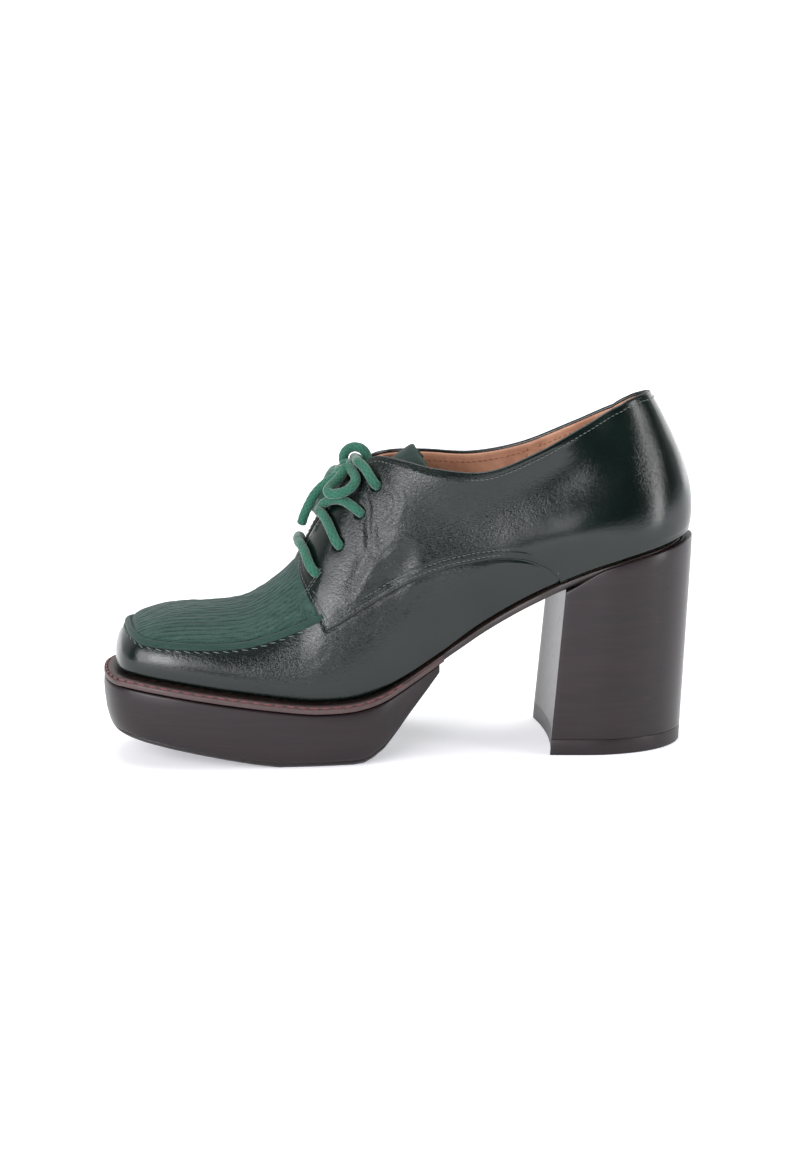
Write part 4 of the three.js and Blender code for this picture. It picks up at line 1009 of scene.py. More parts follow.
def sheet_edge(k):
    hidden = -welt_inner(k) - CLEARANCE
    shown = -0.05 * WELT_MARGIN
    recess = SEAT_RECESS * ramp(HEEL_START - 0.6, HEEL_START - 0.1, k)
    return hidden + (shown - hidden) * ramp(WELT_END + 0.05, WELT_END + 0.5, k) - recess


def waist_ring(s, drop, inset):
    xy = outline(s, sheet_edge(np.abs(s)) - inset)
    return place(xy, foot_height(xy[:, 0]) - LAYER_GAP - drop)


INSOLE_MARGIN = 2.3


def insole_ring(s, rise, inset):
    """The insole lies inside the drawn-in foot of the upper."""
    xy = outline(s, -(WALL + INSOLE_MARGIN) - inset)
    return place(xy, foot_height(xy[:, 0]) + rise)


WAIST_PROFILE = [
    (SOLE_SHEET, 0.7), (SOLE_SHEET - 0.12, 0.3), (SOLE_SHEET - 0.5, 0.06), (SOLE_SHEET / 2, 0), (0.4, 0.05),
    (0.1, 0.25), (0, 0.7),
]
INSOLE_PROFILE = [(0.02, 0.3), (0.2, 0), (INSOLE - 0.3, 0), (INSOLE, 0.3)]
platform_piece = plate("platform_wood", PLATFORM_END, 1.0, PLATFORM_SIDE, platform_ring)
waist_piece = plate("waist_edge", LAST_ROW - 0.01, 1.2, WAIST_PROFILE, waist_ring)
insole_piece = plate("insole_sheet", LAST_ROW - 0.01, 1.5, INSOLE_PROFILE, insole_ring)
print("platform, waist, insole:", [triangles(p) for p in (platform_piece, waist_piece, insole_piece)], "triangles")

# %% [markdown]
# The heel is a tall block. Its plan shrinks forward toward the seat, its
# front is hollow, and a thin rim stands round the seat. It is built from
# rings whose two front corners are slightly rounded.

# %% Heel
# how far the heel's foot moves forward at its front and back, by share of the shoe, and how it widens
HEEL_SHIFT, HEEL_SPREAD = (0.0262, 0.019), 0.05
LIPS = np.array([HEEL_LIP, HEEL_BACK_LIP])


def seat_below(x):
    return foot_height(x) - 2 * LAYER_GAP - SOLE_SHEET


def heel_ring(h, lip, sides=36, front=18, round_off=0.6):
    """One ring of the heel at height share h, lip beyond the foot's outline at front and back."""
    x0, x1 = at("x", HEEL_START), SECTION["x"][-1]

    def point(side, k):
        u = ramp(x0, x1, at("x", k))
        xy = outline(side * k, lip[0] + (lip[1] - lip[0]) * u * u)
        shift = (HEEL_SHIFT[0] + (HEEL_SHIFT[1] - HEEL_SHIFT[0]) * u) * LAST_LENGTH * (1 - h)
        return np.stack([xy[:, 0] - shift, xy[:, 1] * (1 + HEEL_SPREAD * (1 - h) * (1 - u))], -1)
    ks = np.linspace(HEEL_START, LAST_ROW, sides)
    ring = np.vstack([point(-1, ks), point(1, ks[::-1][1:])])
    a, b = ring[-1], ring[0]
    u = np.linspace(0, 1, front)[1:-1, None]
    hollow = a + (b - a) * u + np.concatenate([BREAST_HOLLOW * 4 * u * (1 - u), 0 * u], 1)
    ring = np.vstack([ring, hollow])
    n = len(ring)
    # soften the two front corners
    made = []
    for i, p in enumerate(ring):
        if i in (0, 2 * sides - 2):
            before, after = ring[i - 1], ring[(i + 1) % n]
            da, db = unit(before - p), unit(after - p)
            for q in (0, 0.25, 0.5, 0.75, 1):
                made.append((1 - q) ** 2 * (p + da * round_off) + 2 * q * (1 - q) * p + q * q * (p + db * round_off))
        else:
            made.append(p)
    return np.array(made)


def stack_rings(name, rings):
    points = np.vstack([*rings, rings[0].mean(0)[None], rings[-1].mean(0)[None]])
    return mesh_piece(name, points, tube_faces(len(rings), len(rings[0])), closed=True)


def heel_block():
    floor = TOP_LIFT + 0.02  # a hairline shows between block and top lift
    top = float(seat_below(SECTION["x"][-1]))
    rim = heel_ring(1, LIPS)

    def rise(x):
        return LIP_RISE * (0.03 + 0.97 * ramp(at("x", HEEL_START), at("x", HEEL_START + 1), x))

    def level(u, inset):
        xy = heel_ring(floor / top + (1 - floor / top) * u, LIPS - inset)
        return place(xy, floor + (seat_below(rim[:, 0]) - floor) * u)
    rings = [level(u, inset) for u, inset in ((0, 0.22), (0.0008, 0.08), (0.002, 0), (0.012, 0))]
    rings += [level(u, 0) for u in np.linspace(0.04, 0.97, 20)]
    for inset, sink in ((0, 0.5), (0.08, 0.18), (0.35, 0.0)):
        xy = heel_ring(1, LIPS - inset)
        rings.append(place(xy, seat_below(xy[:, 0]) + rise(xy[:, 0]) - sink))
    inside = CLEARANCE * 2 - SEAT_RECESS
    for inset, sink in ((inside + 0.3, 0), (inside, 0.2), (inside - 0.02, LIP_RISE)):
        xy = heel_ring(1, np.array([inset, inset]))
        rings.append(place(xy, seat_below(xy[:, 0]) + np.maximum(0, rise(xy[:, 0]) - sink)))
    return stack_rings("heel_wood", rings)


def top_lift():
    top = float(seat_below(SECTION["x"][-1]))
    levels = [(0, 0.6), (0.12, 0.25), (0.4, 0.05), (0.9, 0), (3, 0)]
    levels += [(TOP_LIFT - 0.2, 0), (TOP_LIFT - 0.07, 0.05), (TOP_LIFT, 0.2)]
    rings = []
    for z, inset in levels:
        xy = heel_ring(z / top, LIPS - inset)
        rings.append(place(xy, np.full(len(xy), float(z))))
    return stack_rings("heel_tip", rings)


heel_piece, lift_piece = heel_block(), top_lift()
print("heel, tip:", [triangles(p) for p in (heel_piece, lift_piece)], "triangles")

# %% [markdown]
# ## Laces
# The lace is a round braided cord. Its surface is two sets of yarns that
# wind round in opposite directions, so a point's height follows the larger
# of two slanted waves. It comes up through each eyelet and crosses the throat.

# %% Braided cord
BRAID_STRANDS, BRAID_LAY = 7, 2.4  # yarns each way round, and the length in which one winds round once


def braided(name, centre, radius, sides=36, step=0.32):
    """A braided tube along points in millimetres."""
    path = smooth_line(centre, 60 * len(centre))
    path = even(path, path, step=step)
    n = len(path)
    ahead = unit(np.gradient(path, axis=0))
    side = np.zeros_like(path)
    side[0] = unit(np.cross(ahead[0], [0.3, 0.1, 1.0]))
    for i in range(1, n):
        side[i] = unit(side[i - 1] - ahead[i] * np.dot(side[i - 1], ahead[i]))
    other = np.cross(ahead, side)
    turn = np.linspace(0, 2 * math.pi, sides, endpoint=False)
    run = run_of(path)
    slant = 2 * math.pi * run[:, None] / BRAID_LAY
    weave = np.maximum(np.cos(BRAID_STRANDS * turn + slant), np.cos(BRAID_STRANDS * turn - slant))
    # the ends are rounded off
    ends = np.clip(np.minimum(run, run[-1] - run) / (0.6 * radius), 0, 1)
    r = radius * (0.955 + 0.045 * weave) * np.sqrt(np.clip(1 - (1 - ends) ** 2, 0.02, 1))[:, None]
    round_it = np.cos(turn)[None, :, None] * side[:, None] + np.sin(turn)[None, :, None] * other[:, None]
    ring = path[:, None] + r[..., None] * round_it
    points = np.vstack([ring.reshape(-1, 3), path[:1], path[-1:]])
    piece = mesh_piece(name, points, tube_faces(n, sides))
    # the weave's height; the lace's finish darkens the gaps from it as painted shade
    paint(piece, "weave", np.concatenate([weave.ravel(), [0, 0]]))
    outward_faces(piece)
    return piece, path


# eyelet on the inner and outer side, section where the strand leaves each edge, rise over the middle
STRANDS = [(0, 0, 6.42, 6.42, 0.1), (1, 2, 7.2, 7.4, -0.5), (2, 1, 7.3, 7.15, -0.5), (3, 3, 8.62, 8.62, 0.1)]


def strand(inner, outer, inner_edge, outer_edge, hump):
    """Centre of one strand: up through its eyelet, across the throat, and down on the other side."""
    lift = OVERLAY + LACE_DIAMETER / 2 + LACE_STAND

    def half(side, i, edge):
        k, t = EYELETS[(side, i)]
        shares = [(-0.02, -2.5), (0.0, 0.6), (0.07, lift - 1.2), (0.2, lift - 0.3), (0.45, lift - 0.2)]
        shares += [(0.7, lift), (0.92, lift)]
        return [over(side * (k + (edge - k) * u), t + (1 - t) * u, h) for u, h in shares]
    near, far = half(-1, inner, inner_edge), half(1, outer, outer_edge)[::-1]
    middle = (near[-1] + far[0]) / 2 + np.array([0, 0, hump * LACE_DIAMETER])
    return np.array([*near, middle, *far])


STRAND_NAMES = ("lace_row_1", "lace_cross_a", "lace_cross_b", "lace_row_4")
lace_rows = [braided(name, strand(*row), LACE_DIAMETER / 2)[0] for name, row in zip(STRAND_NAMES, STRANDS)]
print("laces:", [triangles(p) for p in lace_rows], "triangles")

# %% [markdown]
# The bow is free cord: two loops and two ends that leave one knot. Their
# routes are the frame's own, and each one's length is printed.

# %% Bow
KNOT = (-23.1, -4.0, 116.0)
BOW = {
    "lace_loop_near": [
        (-23.2, -5.4, 116.4), (-23.6, -7.2, 115.8), (-24.6, -8.6, 114.1), (-27.2, -10.7, 111.7),
        (-29.8, -13.4, 110), (-31, -16.2, 108.8), (-29.8, -18.3, 108), (-26.8, -18.8, 108.3),
        (-23.8, -18.3, 109.1), (-21.3, -17.4, 110.7), (-19.7, -15.7, 112.8), (-19.9, -12.6, 114.6),
        (-21.2, -8.6, 116.2), (-22.2, -6.4, 116.4),
    ],
    "lace_loop_far": [
        (-21.6, -3.4, 114.9), (-19, -2.4, 114.1), (-15.4, -1.4, 114.8), (-14.1, -0.8, 116.7),
        (-13.8, -0.2, 118.9), (-14.6, 0.4, 121.1), (-16.3, 1, 122.6), (-18.5, 1.6, 123.1), (-20.7, 2.2, 122.5),
        (-22.4, 2.8, 120.9), (-23.1, 3.4, 118.8), (-22.8, 4, 116.5), (-21.3, 4.6, 114.7), (-21.4, 1.6, 114.4),
        (-22.2, -1.8, 115.4),
    ],
    "lace_end_near": [
        (-23.2, -4.2, 116), (-23.6, -3, 114.9), (-24.5, -1.8, 113.5), (-27.9, -0.4, 110.6),
        (-31.7, 0.6, 107.6), (-35.1, 1.2, 103.8), (-37.5, 1.2, 99.5), (-39.4, 0.8, 95.3), (-40.7, -0, 91.4),
    ],
    "lace_end_far": [
        (-23.2, -3.4, 115.6), (-23.4, 0.6, 114), (-23.9, 5, 113.4), (-24.4, 9.1, 112.2), (-26.2, 15.1, 110.8),
        (-28, 21.1, 106.2), (-29.4, 26.7, 99.8), (-30.4, 30.7, 92.4),
    ],
}


def knot():
    """The knot is a short wrap of the same cord round the loops."""
    turn = np.linspace(0, 1.35 * 2 * math.pi, 26)
    climb = 0.9 * np.cos(turn) + 1.5 * (turn / turn[-1] - 0.5)
    wrap = np.stack([2.4 * np.cos(turn), 3.1 * np.sin(turn), climb], -1) + KNOT
    return braided("lace_knot_wrap", wrap + SHIFT, 1.9)[0]


cords = {name: braided(name + "_cord", np.array(route) + SHIFT, LACE_DIAMETER / 2) for name, route in BOW.items()}
knot_piece = knot()
for name, (piece, path) in cords.items():
    print(name, round(run_of(path)[-1], 1), "mm long")

# %% [markdown]
# ## Stitches
# A stitch is a short, thick thread that lies on the leather. Geometry Nodes
# walks along each seam at a fixed pitch and sets one small capsule at each
# step, turned along the seam.

# %% Stitch tree


def stitch_tree():
    tree = bpy.data.node_groups.new("stitch_row", "GeometryNodeTree")
    face = tree.interface
    face.new_socket("Geometry", in_out="INPUT", socket_type="NodeSocketGeometry")
    for name, value in (("Pitch", 2.4), ("Length", 1.7), ("Thickness", 0.5), ("Slant", 0.0)):
        face.new_socket(name, in_out="INPUT", socket_type="NodeSocketFloat").default_value = value
    face.new_socket("Thread", in_out="INPUT", socket_type="NodeSocketMaterial")
    face.new_socket("Geometry", in_out="OUTPUT", socket_type="NodeSocketGeometry")

    def node(kind, links=(), **settings):
        made = tree.nodes.new(kind)
        for key, value in settings.items():
            setattr(made, key, value)
        for socket, source in dict(links).items():
            if isinstance(source, bpy.types.NodeSocket):
                tree.links.new(source, made.inputs[socket])
            else:
                made.inputs[socket].default_value = source
        return made
    given = node("NodeGroupInput").outputs
    to_curve = node("GeometryNodeMeshToCurve", {"Mesh": given["Geometry"]})
    pitch = node("ShaderNodeMath", {0: given["Pitch"], 1: MM}, operation="MULTIPLY").outputs[0]
    row = node("GeometryNodeResampleCurve", {"Curve": to_curve.outputs["Curve"], "Length": pitch}, mode="LENGTH")
    tangent = node("GeometryNodeInputTangent").outputs[0]
    # the leather's outward direction is stored on the seam's points
    facing = node("GeometryNodeInputNamedAttribute", {"Name": "facing"}, data_type="FLOAT_VECTOR").outputs[0]
    # lean each stitch across the seam a little
    sideways = node("ShaderNodeVectorMath", {0: tangent, 1: facing}, operation="CROSS_PRODUCT").outputs[0]
    lean = node("ShaderNodeVectorMath", {0: sideways, "Scale": given["Slant"]}, operation="SCALE").outputs[0]
    aim = node("ShaderNodeVectorMath", {0: tangent, 1: lean}, operation="ADD").outputs[0]
    turn = node("FunctionNodeAlignRotationToVector", {"Vector": aim}, axis="X").outputs[0]
    shape = node("GeometryNodeMeshUVSphere", {"Segments": 6, "Rings": 5, "Radius": 0.5 * MM}).outputs["Mesh"]
    thick = given["Thickness"]
    size = node("ShaderNodeCombineXYZ", {0: given["Length"], 1: thick, 2: thick}).outputs[0]
    copies = node("GeometryNodeInstanceOnPoints", {
        "Points": row.outputs["Curve"], "Instance": shape, "Rotation": turn, "Scale": size,
    })
    real = node("GeometryNodeRealizeInstances", {"Geometry": copies.outputs["Instances"]})
    soft = node("GeometryNodeSetShadeSmooth", {"Geometry": real.outputs["Geometry"]})
    thread = node("GeometryNodeSetMaterial", {"Geometry": soft.outputs["Geometry"], "Material": given["Thread"]})
    node("NodeGroupOutput", {"Geometry": thread.outputs["Geometry"]})
    return tree


STITCH_TREE = stitch_tree()


def stitch_rows(name, rows, thread, **sizes):
    """Turns seams, each a list of points and outward directions, into one mesh of stitches."""
    points, edges, facing = [], [], []
    for path, n in rows:
        start = len(points)
        points += list(path)
        facing += list(n)
        edges += [(start + i, start + i + 1) for i in range(len(path) - 1)]
    mesh = bpy.data.meshes.new(name + "_path")
    mesh.from_pydata((np.array(points) * MM).tolist(), edges, [])
    attribute = mesh.attributes.new("facing", "FLOAT_VECTOR", "POINT")
    attribute.data.foreach_set("vector", np.array(facing, np.float32).ravel())
    seam = put(name + "_path", mesh)
    modifier = seam.modifiers.new("stitches", "NODES")
    modifier.node_group = STITCH_TREE
    for item in STITCH_TREE.interface.items_tree:
        if item.in_out == "INPUT" and item.name in sizes:
            modifier[item.identifier] = float(sizes[item.name])
        if item.in_out == "INPUT" and item.name == "Thread":
            modifier[item.identifier] = thread
    seam.update_tag()
    bpy.context.view_layer.update()
    graph = bpy.context.evaluated_depsgraph_get()
    seen = seam.evaluated_get(graph)
    made = bpy.data.meshes.new_from_object(seen, preserve_all_data_layers=True, depsgraph=graph)
    made.name = name
    bpy.data.objects.remove(seam)
    return put(name, made)


print("the stitch tree has", len(STITCH_TREE.nodes), "nodes")

# %% [markdown]
# ## Materials
# Shader maths is written as plain expressions. A small class wraps a node's
# output, and each operator adds the Math node that does it.

# %% Shader helper


class Shade:
    """Wraps one socket of a material, so that maths on it reads as maths."""

    def __init__(self, tree, socket):
        self.tree, self.socket = tree, socket

    def node(self, kind, settings=None, inputs=None, out=0):
        return make_node(self.tree, kind, settings, inputs, out)

    def math(self, operation, *others):
        return self.node("ShaderNodeMath", {"operation": operation}, dict(enumerate((self, *others))))

    def __add__(self, other):
        return self.math("ADD", other)

    __radd__ = __add__

    def __sub__(self, other):
        return self.math("SUBTRACT", other)

    def __rsub__(self, other):
        return self.node("ShaderNodeMath", {"operation": "SUBTRACT"}, {0: other, 1: self})

    def __mul__(self, other):
        return self.math("MULTIPLY", other)

    __rmul__ = __mul__

    def __pow__(self, other):
        return self.math("POWER", other)

    def smooth(self, low, high):
        inputs = {"Value": self, "From Min": low, "From Max": high}
        return self.node("ShaderNodeMapRange", {"interpolation_type": "SMOOTHSTEP"}, inputs)


def make_node(tree, kind, settings=None, inputs=None, out=0):
    """Adds a node: its settings first, then values or links for its sockets."""
    made = tree.nodes.new(kind)
    for key, value in (settings or {}).items():
        setattr(made, key, value)
    for key, value in (inputs or {}).items():
        if isinstance(value, Shade):
            tree.links.new(value.socket, made.inputs[key])
        else:
            made.inputs[key].default_value = value
    return Shade(tree, made.outputs[out])


class Finish:
    """A material with a Principled shader, and the nodes that most finishes share."""

    def __init__(self, name, **plain):
        self.material = bpy.data.materials.new(name)
        self.material.use_nodes = True
        self.tree = self.material.node_tree
        self.shader = self.tree.nodes["Principled BSDF"]
        for key, value in plain.items():
            self.shader.inputs[key.replace("_", " ")].default_value = value
        self.place = self.node("ShaderNodeTexCoord", out="Object")

    def node(self, kind, settings=None, inputs=None, out=0):
        return make_node(self.tree, kind, settings, inputs, out)

    def set(self, name, value):
        if isinstance(value, Shade):
            self.tree.links.new(value.socket, self.shader.inputs[name])
        else:
            self.shader.inputs[name].default_value = value

    def stretched(self, x, y, z):
        return self.node("ShaderNodeMapping", {}, {"Vector": self.place, "Scale": (x, y, z)})

    def noise(self, size_mm, detail=3.0, rough=0.5, twist=0.0, where=None):
        return self.node("ShaderNodeTexNoise", {}, {
            "Vector": where or self.place, "Scale": 1000.0 / size_mm, "Detail": detail, "Roughness": rough,
            "Distortion": twist,
        })

    def cells(self, size_mm):
        inputs = {"Vector": self.place, "Scale": 1000.0 / size_mm}
        return self.node("ShaderNodeTexVoronoi", {"feature": "SMOOTH_F1"}, inputs)

    def painted(self, name):
        return self.node("ShaderNodeAttribute", {"attribute_name": name}, out="Fac")

    def blend(self, amount, a, b):
        made = self.tree.nodes.new("ShaderNodeMix")
        made.data_type = "RGBA"
        # a Mix node has sockets of each type: 0 is the number's factor, 6 and 7 are the colours
        for index, value in ((0, amount), (6, a), (7, b)):
            if isinstance(value, Shade):
                self.tree.links.new(value.socket, made.inputs[index])
            else:
                made.inputs[index].default_value = (*value, 1)
        return Shade(self.tree, made.outputs[2])

    def bump(self, height, distance_mm, strength=1.0):
        inputs = {"Height": height, "Distance": distance_mm * MM, "Strength": strength}
        return self.node("ShaderNodeBump", {}, inputs)


print("shader helper ready:", len([m for m in vars(Finish) if m[0] != "_"]), "kinds of step")

# %% [markdown]
# ### Glossy green leather
# The leather is dark green with a hard gloss over it, and the gloss is
# finely crinkled. A crinkle is the ridge where a noise crosses its middle
# value, so the noise is folded there and sharpened by a power. It is drawn
# in two sizes, stronger where the leather flexes, over a fine grain.

# %% Green leather


def green_leather(name):
    f = Finish(name, IOR=1.5, Specular_IOR_Level=0.5, Coat_Weight=0.0)
    crinkle = f.painted("crinkle")
    fine, folds = (1 - (f.noise(size, 2.0, 0.5, 0.5) * 2 - 1).math("ABSOLUTE") for size in (1.0, 2.2))
    grain = f.noise(0.55, 2.0, 0.5)
    swell = f.noise(9.0, 1.0)
    height = (folds ** 5) * crinkle * 0.55 + (fine ** 3) * (crinkle * 0.9 + 0.03)
    height = height + grain * 0.05 * (crinkle + 0.3) + swell * 0.6
    f.set("Normal", f.bump(height, 0.09, 1.0))
    tone = f.noise(24.0, 3.0)
    base = f.blend(tone.smooth(0.35, 0.7), (0.0012, 0.0040, 0.0032), (0.0022, 0.0066, 0.0052))
    f.set("Base Color", base)
    f.set("Roughness", 0.13 + tone * 0.06 + crinkle * 0.10)
    return f.material


leather = green_leather("green_leather")
print("leather:", len(leather.node_tree.nodes), "nodes")

# %% [markdown]
# ### Suede
# Suede has a short nap that scatters light, so it is rough with a little
# sheen, and its colour is two greens mixed by a noise drawn out along the
# foot, as if brushed. Between the apron's ribs the colour is darkened as painted shade.

# %% Suede


def suede(name, dark, light, rib=False):
    f = Finish(name, Roughness=0.95, Specular_IOR_Level=0.3, Sheen_Weight=0.12, Sheen_Roughness=0.5)
    nap = f.noise(0.55, 4.0, 0.7)
    brushed = f.noise(1.3, 4.0, 0.65, 0.0, where=f.stretched(0.07, 1, 0.6))
    mixed = (brushed * 0.5 + nap * 0.5).smooth(0.34, 0.66)
    colour = f.blend(mixed, dark, light)
    if rib:
        # painted shade: the grooves between the ribs are darkened towards a fifth of the dark green
        groove_shade = (1 - f.painted("rib")).smooth(0.0, 0.75) * 0.9
        colour = f.blend(groove_shade, colour, tuple(c * 0.22 for c in dark))
    f.set("Base Color", colour)
    f.set("Normal", f.bump(nap, 0.12, 0.8))
    return f.material


apron_suede = suede("apron_suede", (0.010, 0.030, 0.024), (0.034, 0.072, 0.060), rib=True)
border_suede = suede("border_suede", (0.009, 0.027, 0.021), (0.018, 0.046, 0.037))
tongue_finish = suede("tongue_suede", (0.009, 0.022, 0.018), (0.022, 0.042, 0.035))
print("suede:", len(apron_suede.node_tree.nodes), "nodes on the apron")

# %% [markdown]
# ### Tan lining
# The lining is soft pigskin in a warm tan: a cloudy colour, and a grain of
# small cells.

# %% Tan lining


def tan_lining():
    f = Finish("tan_lining", Roughness=0.5, Specular_IOR_Level=0.4)
    grain = f.cells(1.1)
    cloud = f.noise(14.0, 4.0, 0.6)
    f.set("Base Color", f.blend(cloud.smooth(0.3, 0.7), (0.32, 0.150, 0.088), (0.50, 0.265, 0.165)))
    f.set("Normal", f.bump(grain + f.noise(0.5, 2.0) * 0.5, 0.12, 0.5))
    f.set("Roughness", 0.46 + cloud * 0.15)
    return f.material


lining_leather = tan_lining()
print("lining:", len(lining_leather.node_tree.nodes), "nodes")

# %% [markdown]
# ### Dark polished wood
# Platform and heel look like dark stained wood. The grain is noise drawn out
# along the shoe, which also mottles the polish a little.

# %% Dark wood


def dark_wood(name, rough):
    f = Finish(name, Specular_IOR_Level=0.42)
    long_grain = f.noise(5.0, 5.0, 0.6, 0.4, where=f.stretched(0.10, 1.0, 1.6))
    streak = f.noise(2.6, 3.0, 0.6, 0.3, where=f.stretched(0.05, 0.8, 2.2))
    base = f.blend(long_grain.smooth(0.35, 0.68), (0.0050, 0.0018, 0.0030), (0.0088, 0.0035, 0.0048))
    stain = streak.smooth(0.55, 0.80) * 0.55
    f.set("Base Color", f.blend(stain, base, (0.026, 0.0060, 0.0060)))
    f.set("Roughness", rough + long_grain * 0.10)
    f.set("Normal", f.bump(streak + long_grain, 0.03, 0.3))
    return f.material


platform_wood = dark_wood("platform_wood", 0.32)
heel_wood = dark_wood("heel_wood", 0.24)
tip_rubber = dark_wood("heel_tip_rubber", 0.36)
print("wood:", len(heel_wood.node_tree.nodes), "nodes")

# %% [markdown]
# ### Plum leather
# Welt and waist edge are brown-purple leather. On the welt the painted
# number places two bands: the stitch channel, reddish, and painted shade,
# near black, in the corner under the upper.

# %% Plum leather


def plum_leather(name, low, high, rough, strip=False):
    f = Finish(name, Roughness=rough, Coat_Weight=0.15, Coat_Roughness=0.3)
    cloud = f.noise(7.0, 4.0, 0.6, where=f.stretched(0.4, 1, 1))
    fibre = f.noise(0.7, 3.0, 0.6)
    colour = f.blend((cloud * 0.7 + fibre * 0.3).smooth(0.3, 0.7), low, high)
    if strip:
        inward = f.painted("inward")
        channel = inward.smooth(0.045, 0.062) * (1 - inward.smooth(0.11, 0.15))
        colour = f.blend(channel * 0.85, colour, (0.030, 0.0055, 0.0070))
        # painted shade: the welt's inner part, under the upper, is darkened to near black
        colour = f.blend(inward.smooth(0.26, 0.38), colour, (0.004, 0.002, 0.002))
    f.set("Base Color", colour)
    f.set("Roughness", rough + fibre * 0.15)
    f.set("Normal", f.bump(fibre, 0.1, 0.4))
    return f.material


welt_leather = plum_leather("welt_leather", (0.030, 0.015, 0.0145), (0.062, 0.033, 0.031), 0.42, strip=True)
waist_leather = plum_leather("waist_edge_leather", (0.009, 0.0055, 0.005), (0.022, 0.014, 0.012), 0.42)
print("plum leather:", len(welt_leather.node_tree.nodes), "nodes on the welt")

# %% [markdown]
# ### Thread and lace
# Both are twisted fibre, so they are rough with sheen. On the lace the
# gaps between the yarns are darkened as painted shade, read from the painted weave.

# %% Thread and lace


def thread_finish(name, low, high):
    f = Finish(name, Roughness=0.6, Sheen_Weight=0.2)
    twist = f.noise(0.6, 2.0)
    f.set("Base Color", f.blend(twist, low, high))
    f.set("Normal", f.bump(twist, 0.1, 0.6))
    return f.material


pale_thread = thread_finish("pale_green_thread", (0.03, 0.06, 0.052), (0.11, 0.16, 0.14))
green_thread = thread_finish("green_thread", (0.020, 0.034, 0.029), (0.075, 0.10, 0.088))
wine_thread = thread_finish("wine_thread", (0.075, 0.012, 0.016), (0.19, 0.045, 0.048))
tan_thread = thread_finish("tan_thread", (0.16, 0.06, 0.03), (0.30, 0.13, 0.06))


def lace_finish():
    f = Finish("braided_lace", Roughness=0.85, Sheen_Weight=0.35, Sheen_Roughness=0.4)
    weave = f.painted("weave")
    fuzz = f.noise(0.45, 3.0, 0.7)
    cloud = f.noise(6.0, 2.0)
    base = f.blend((fuzz * 0.6 + cloud * 0.4).smooth(0.3, 0.7), (0.005, 0.062, 0.037), (0.020, 0.140, 0.086))
    # painted shade: the gaps between the yarns are darkened
    f.set("Base Color", f.blend((1 - weave).smooth(0.0, 0.9) * 0.5, base, (0.002, 0.030, 0.017)))
    f.set("Normal", f.bump(fuzz, 0.16, 0.8))
    return f.material


lace_cotton = lace_finish()
print("lace:", len(lace_cotton.node_tree.nodes), "nodes")

# %% [markdown]
# ## Seams
# Now the seams are walked: round the apron's border, along the quarters'
# edges in one or two rows, round the top line, and along the welt.

# %% Seam paths


def edge_row(side, inset, part):
    """A row of places at a distance inside the quarter's edge; part picks the edge's points, given the
    corner's number and their count."""
    edge, corner = quarter_edge(side, step=0.5)
    rows = edge[slice(*part(corner, len(edge)))]
    near = np.linspace(0, 1, 60)
    k, t = spanned(rows, near)
    p = skin(side * k, t)
    # walk square to the edge instead of along the span
    ahead = unit(np.gradient(p[:, 0], axis=0))
    across = p - p[:, :1]
    along = np.sum(across * ahead[:, None], -1, keepdims=True) * ahead[:, None]
    away = np.linalg.norm(across - along, axis=2)
    k, t = (c[:, 0] for c in spanned(rows, np.array([[np.interp(inset, a, near)] for a in away])))
    return over(side * k, t, OVERLAY + 0.02), outward(side * k, t)


def top_row(side, inset, k0, k1, height):
    """A row at a distance below the top line, from section k0 to section k1."""
    k = np.linspace(k0, k1, 500)
    rib = np.linspace(1, 0.6, 80)
    t = np.array([np.interp(inset, run, rib) for run in runs_of(skin(side * k[:, None], rib[None]))])
    return over(side * k, t, height), outward(side * k, t)


def quarter_seams():
    rows = []
    for side in (-1, 1):
        rows.append(edge_row(side, 1.5, lambda c, n: (6, c - 2)))
        rows.append(edge_row(side, 3.6, lambda c, n: (int(c * 0.72), c - 6)))
        for inset in DOUBLE_SEAM:
            rows.append(edge_row(side, inset, lambda c, n: (c + 3, int(c + (n - c) * 0.585))))
        rows.append(top_row(side, 2.4, 6.5, 17.9, OVERLAY + 0.05))
    return rows


def bartack_rows():
    """Two short rows that hold the quarter's corner."""
    rows = []
    for side in (-1, 1):
        for down in (0.0, 0.018):
            k = np.linspace(6.33, 6.95, 30)
            t = np.linspace(0.655 - down, 0.675 - down, 30) - 0.02
            rows.append((over(side * k, t, OVERLAY + 0.05), outward(side * k, t)))
    return rows


seams = stitch_rows(
    "quarter_stitches", quarter_seams() + bartack_rows(), green_thread,
    Pitch=2.0, Length=1.6, Thickness=0.42, Slant=0.14)
s, t = seam_line(6.7, 0.5, down=2.2).T
border_stitches = stitch_rows(
    "border_stitches", [(over(s, t, 0.12), outward(s, t))], pale_thread,
    Pitch=3.8, Length=3.0, Thickness=0.42, Slant=0.3)


welt_line = welt_point(even_sections(WELT_END - 1.3, 0.5), *STITCH_CHANNEL)
welt_rows = [(welt_line, np.tile([0.0, 0.0, 1.0], (len(welt_line), 1)))]
welt_stitches = stitch_rows("welt_stitches", welt_rows, wine_thread, Pitch=4.6, Length=4.0, Thickness=0.85, Slant=0.05)


def lining_rows():
    rows = [top_row(side, 3.4, 8.9, 17.95, -WALL - 0.05) for side in (-1, 1)]
    for side in (-1, 1):
        for k in (LINING_SEAM - SEAM_HALF, LINING_SEAM + SEAM_HALF):
            s, t = np.full(80, side * k), np.linspace(0.3, 0.95, 80)
            rows.append((over(s, t, lining_fold(s, t) - WALL - 0.08), outward(s, t)))
    return rows


lining_stitches = stitch_rows(
    "lining_stitches", lining_rows(), tan_thread, Pitch=2.3, Length=1.6, Thickness=0.5, Slant=0.0)
print("stitches:", [triangles(p) for p in (seams, border_stitches, welt_stitches, lining_stitches)], "triangles")

# %% [markdown]
# ## Floor
# The shoe stands on a plain pale floor. Part of its brightness is a glow that
# grows with the distance from the shoe, so it runs out to white, and the
# shoe's own shadow still shows near it.

# %% Floor


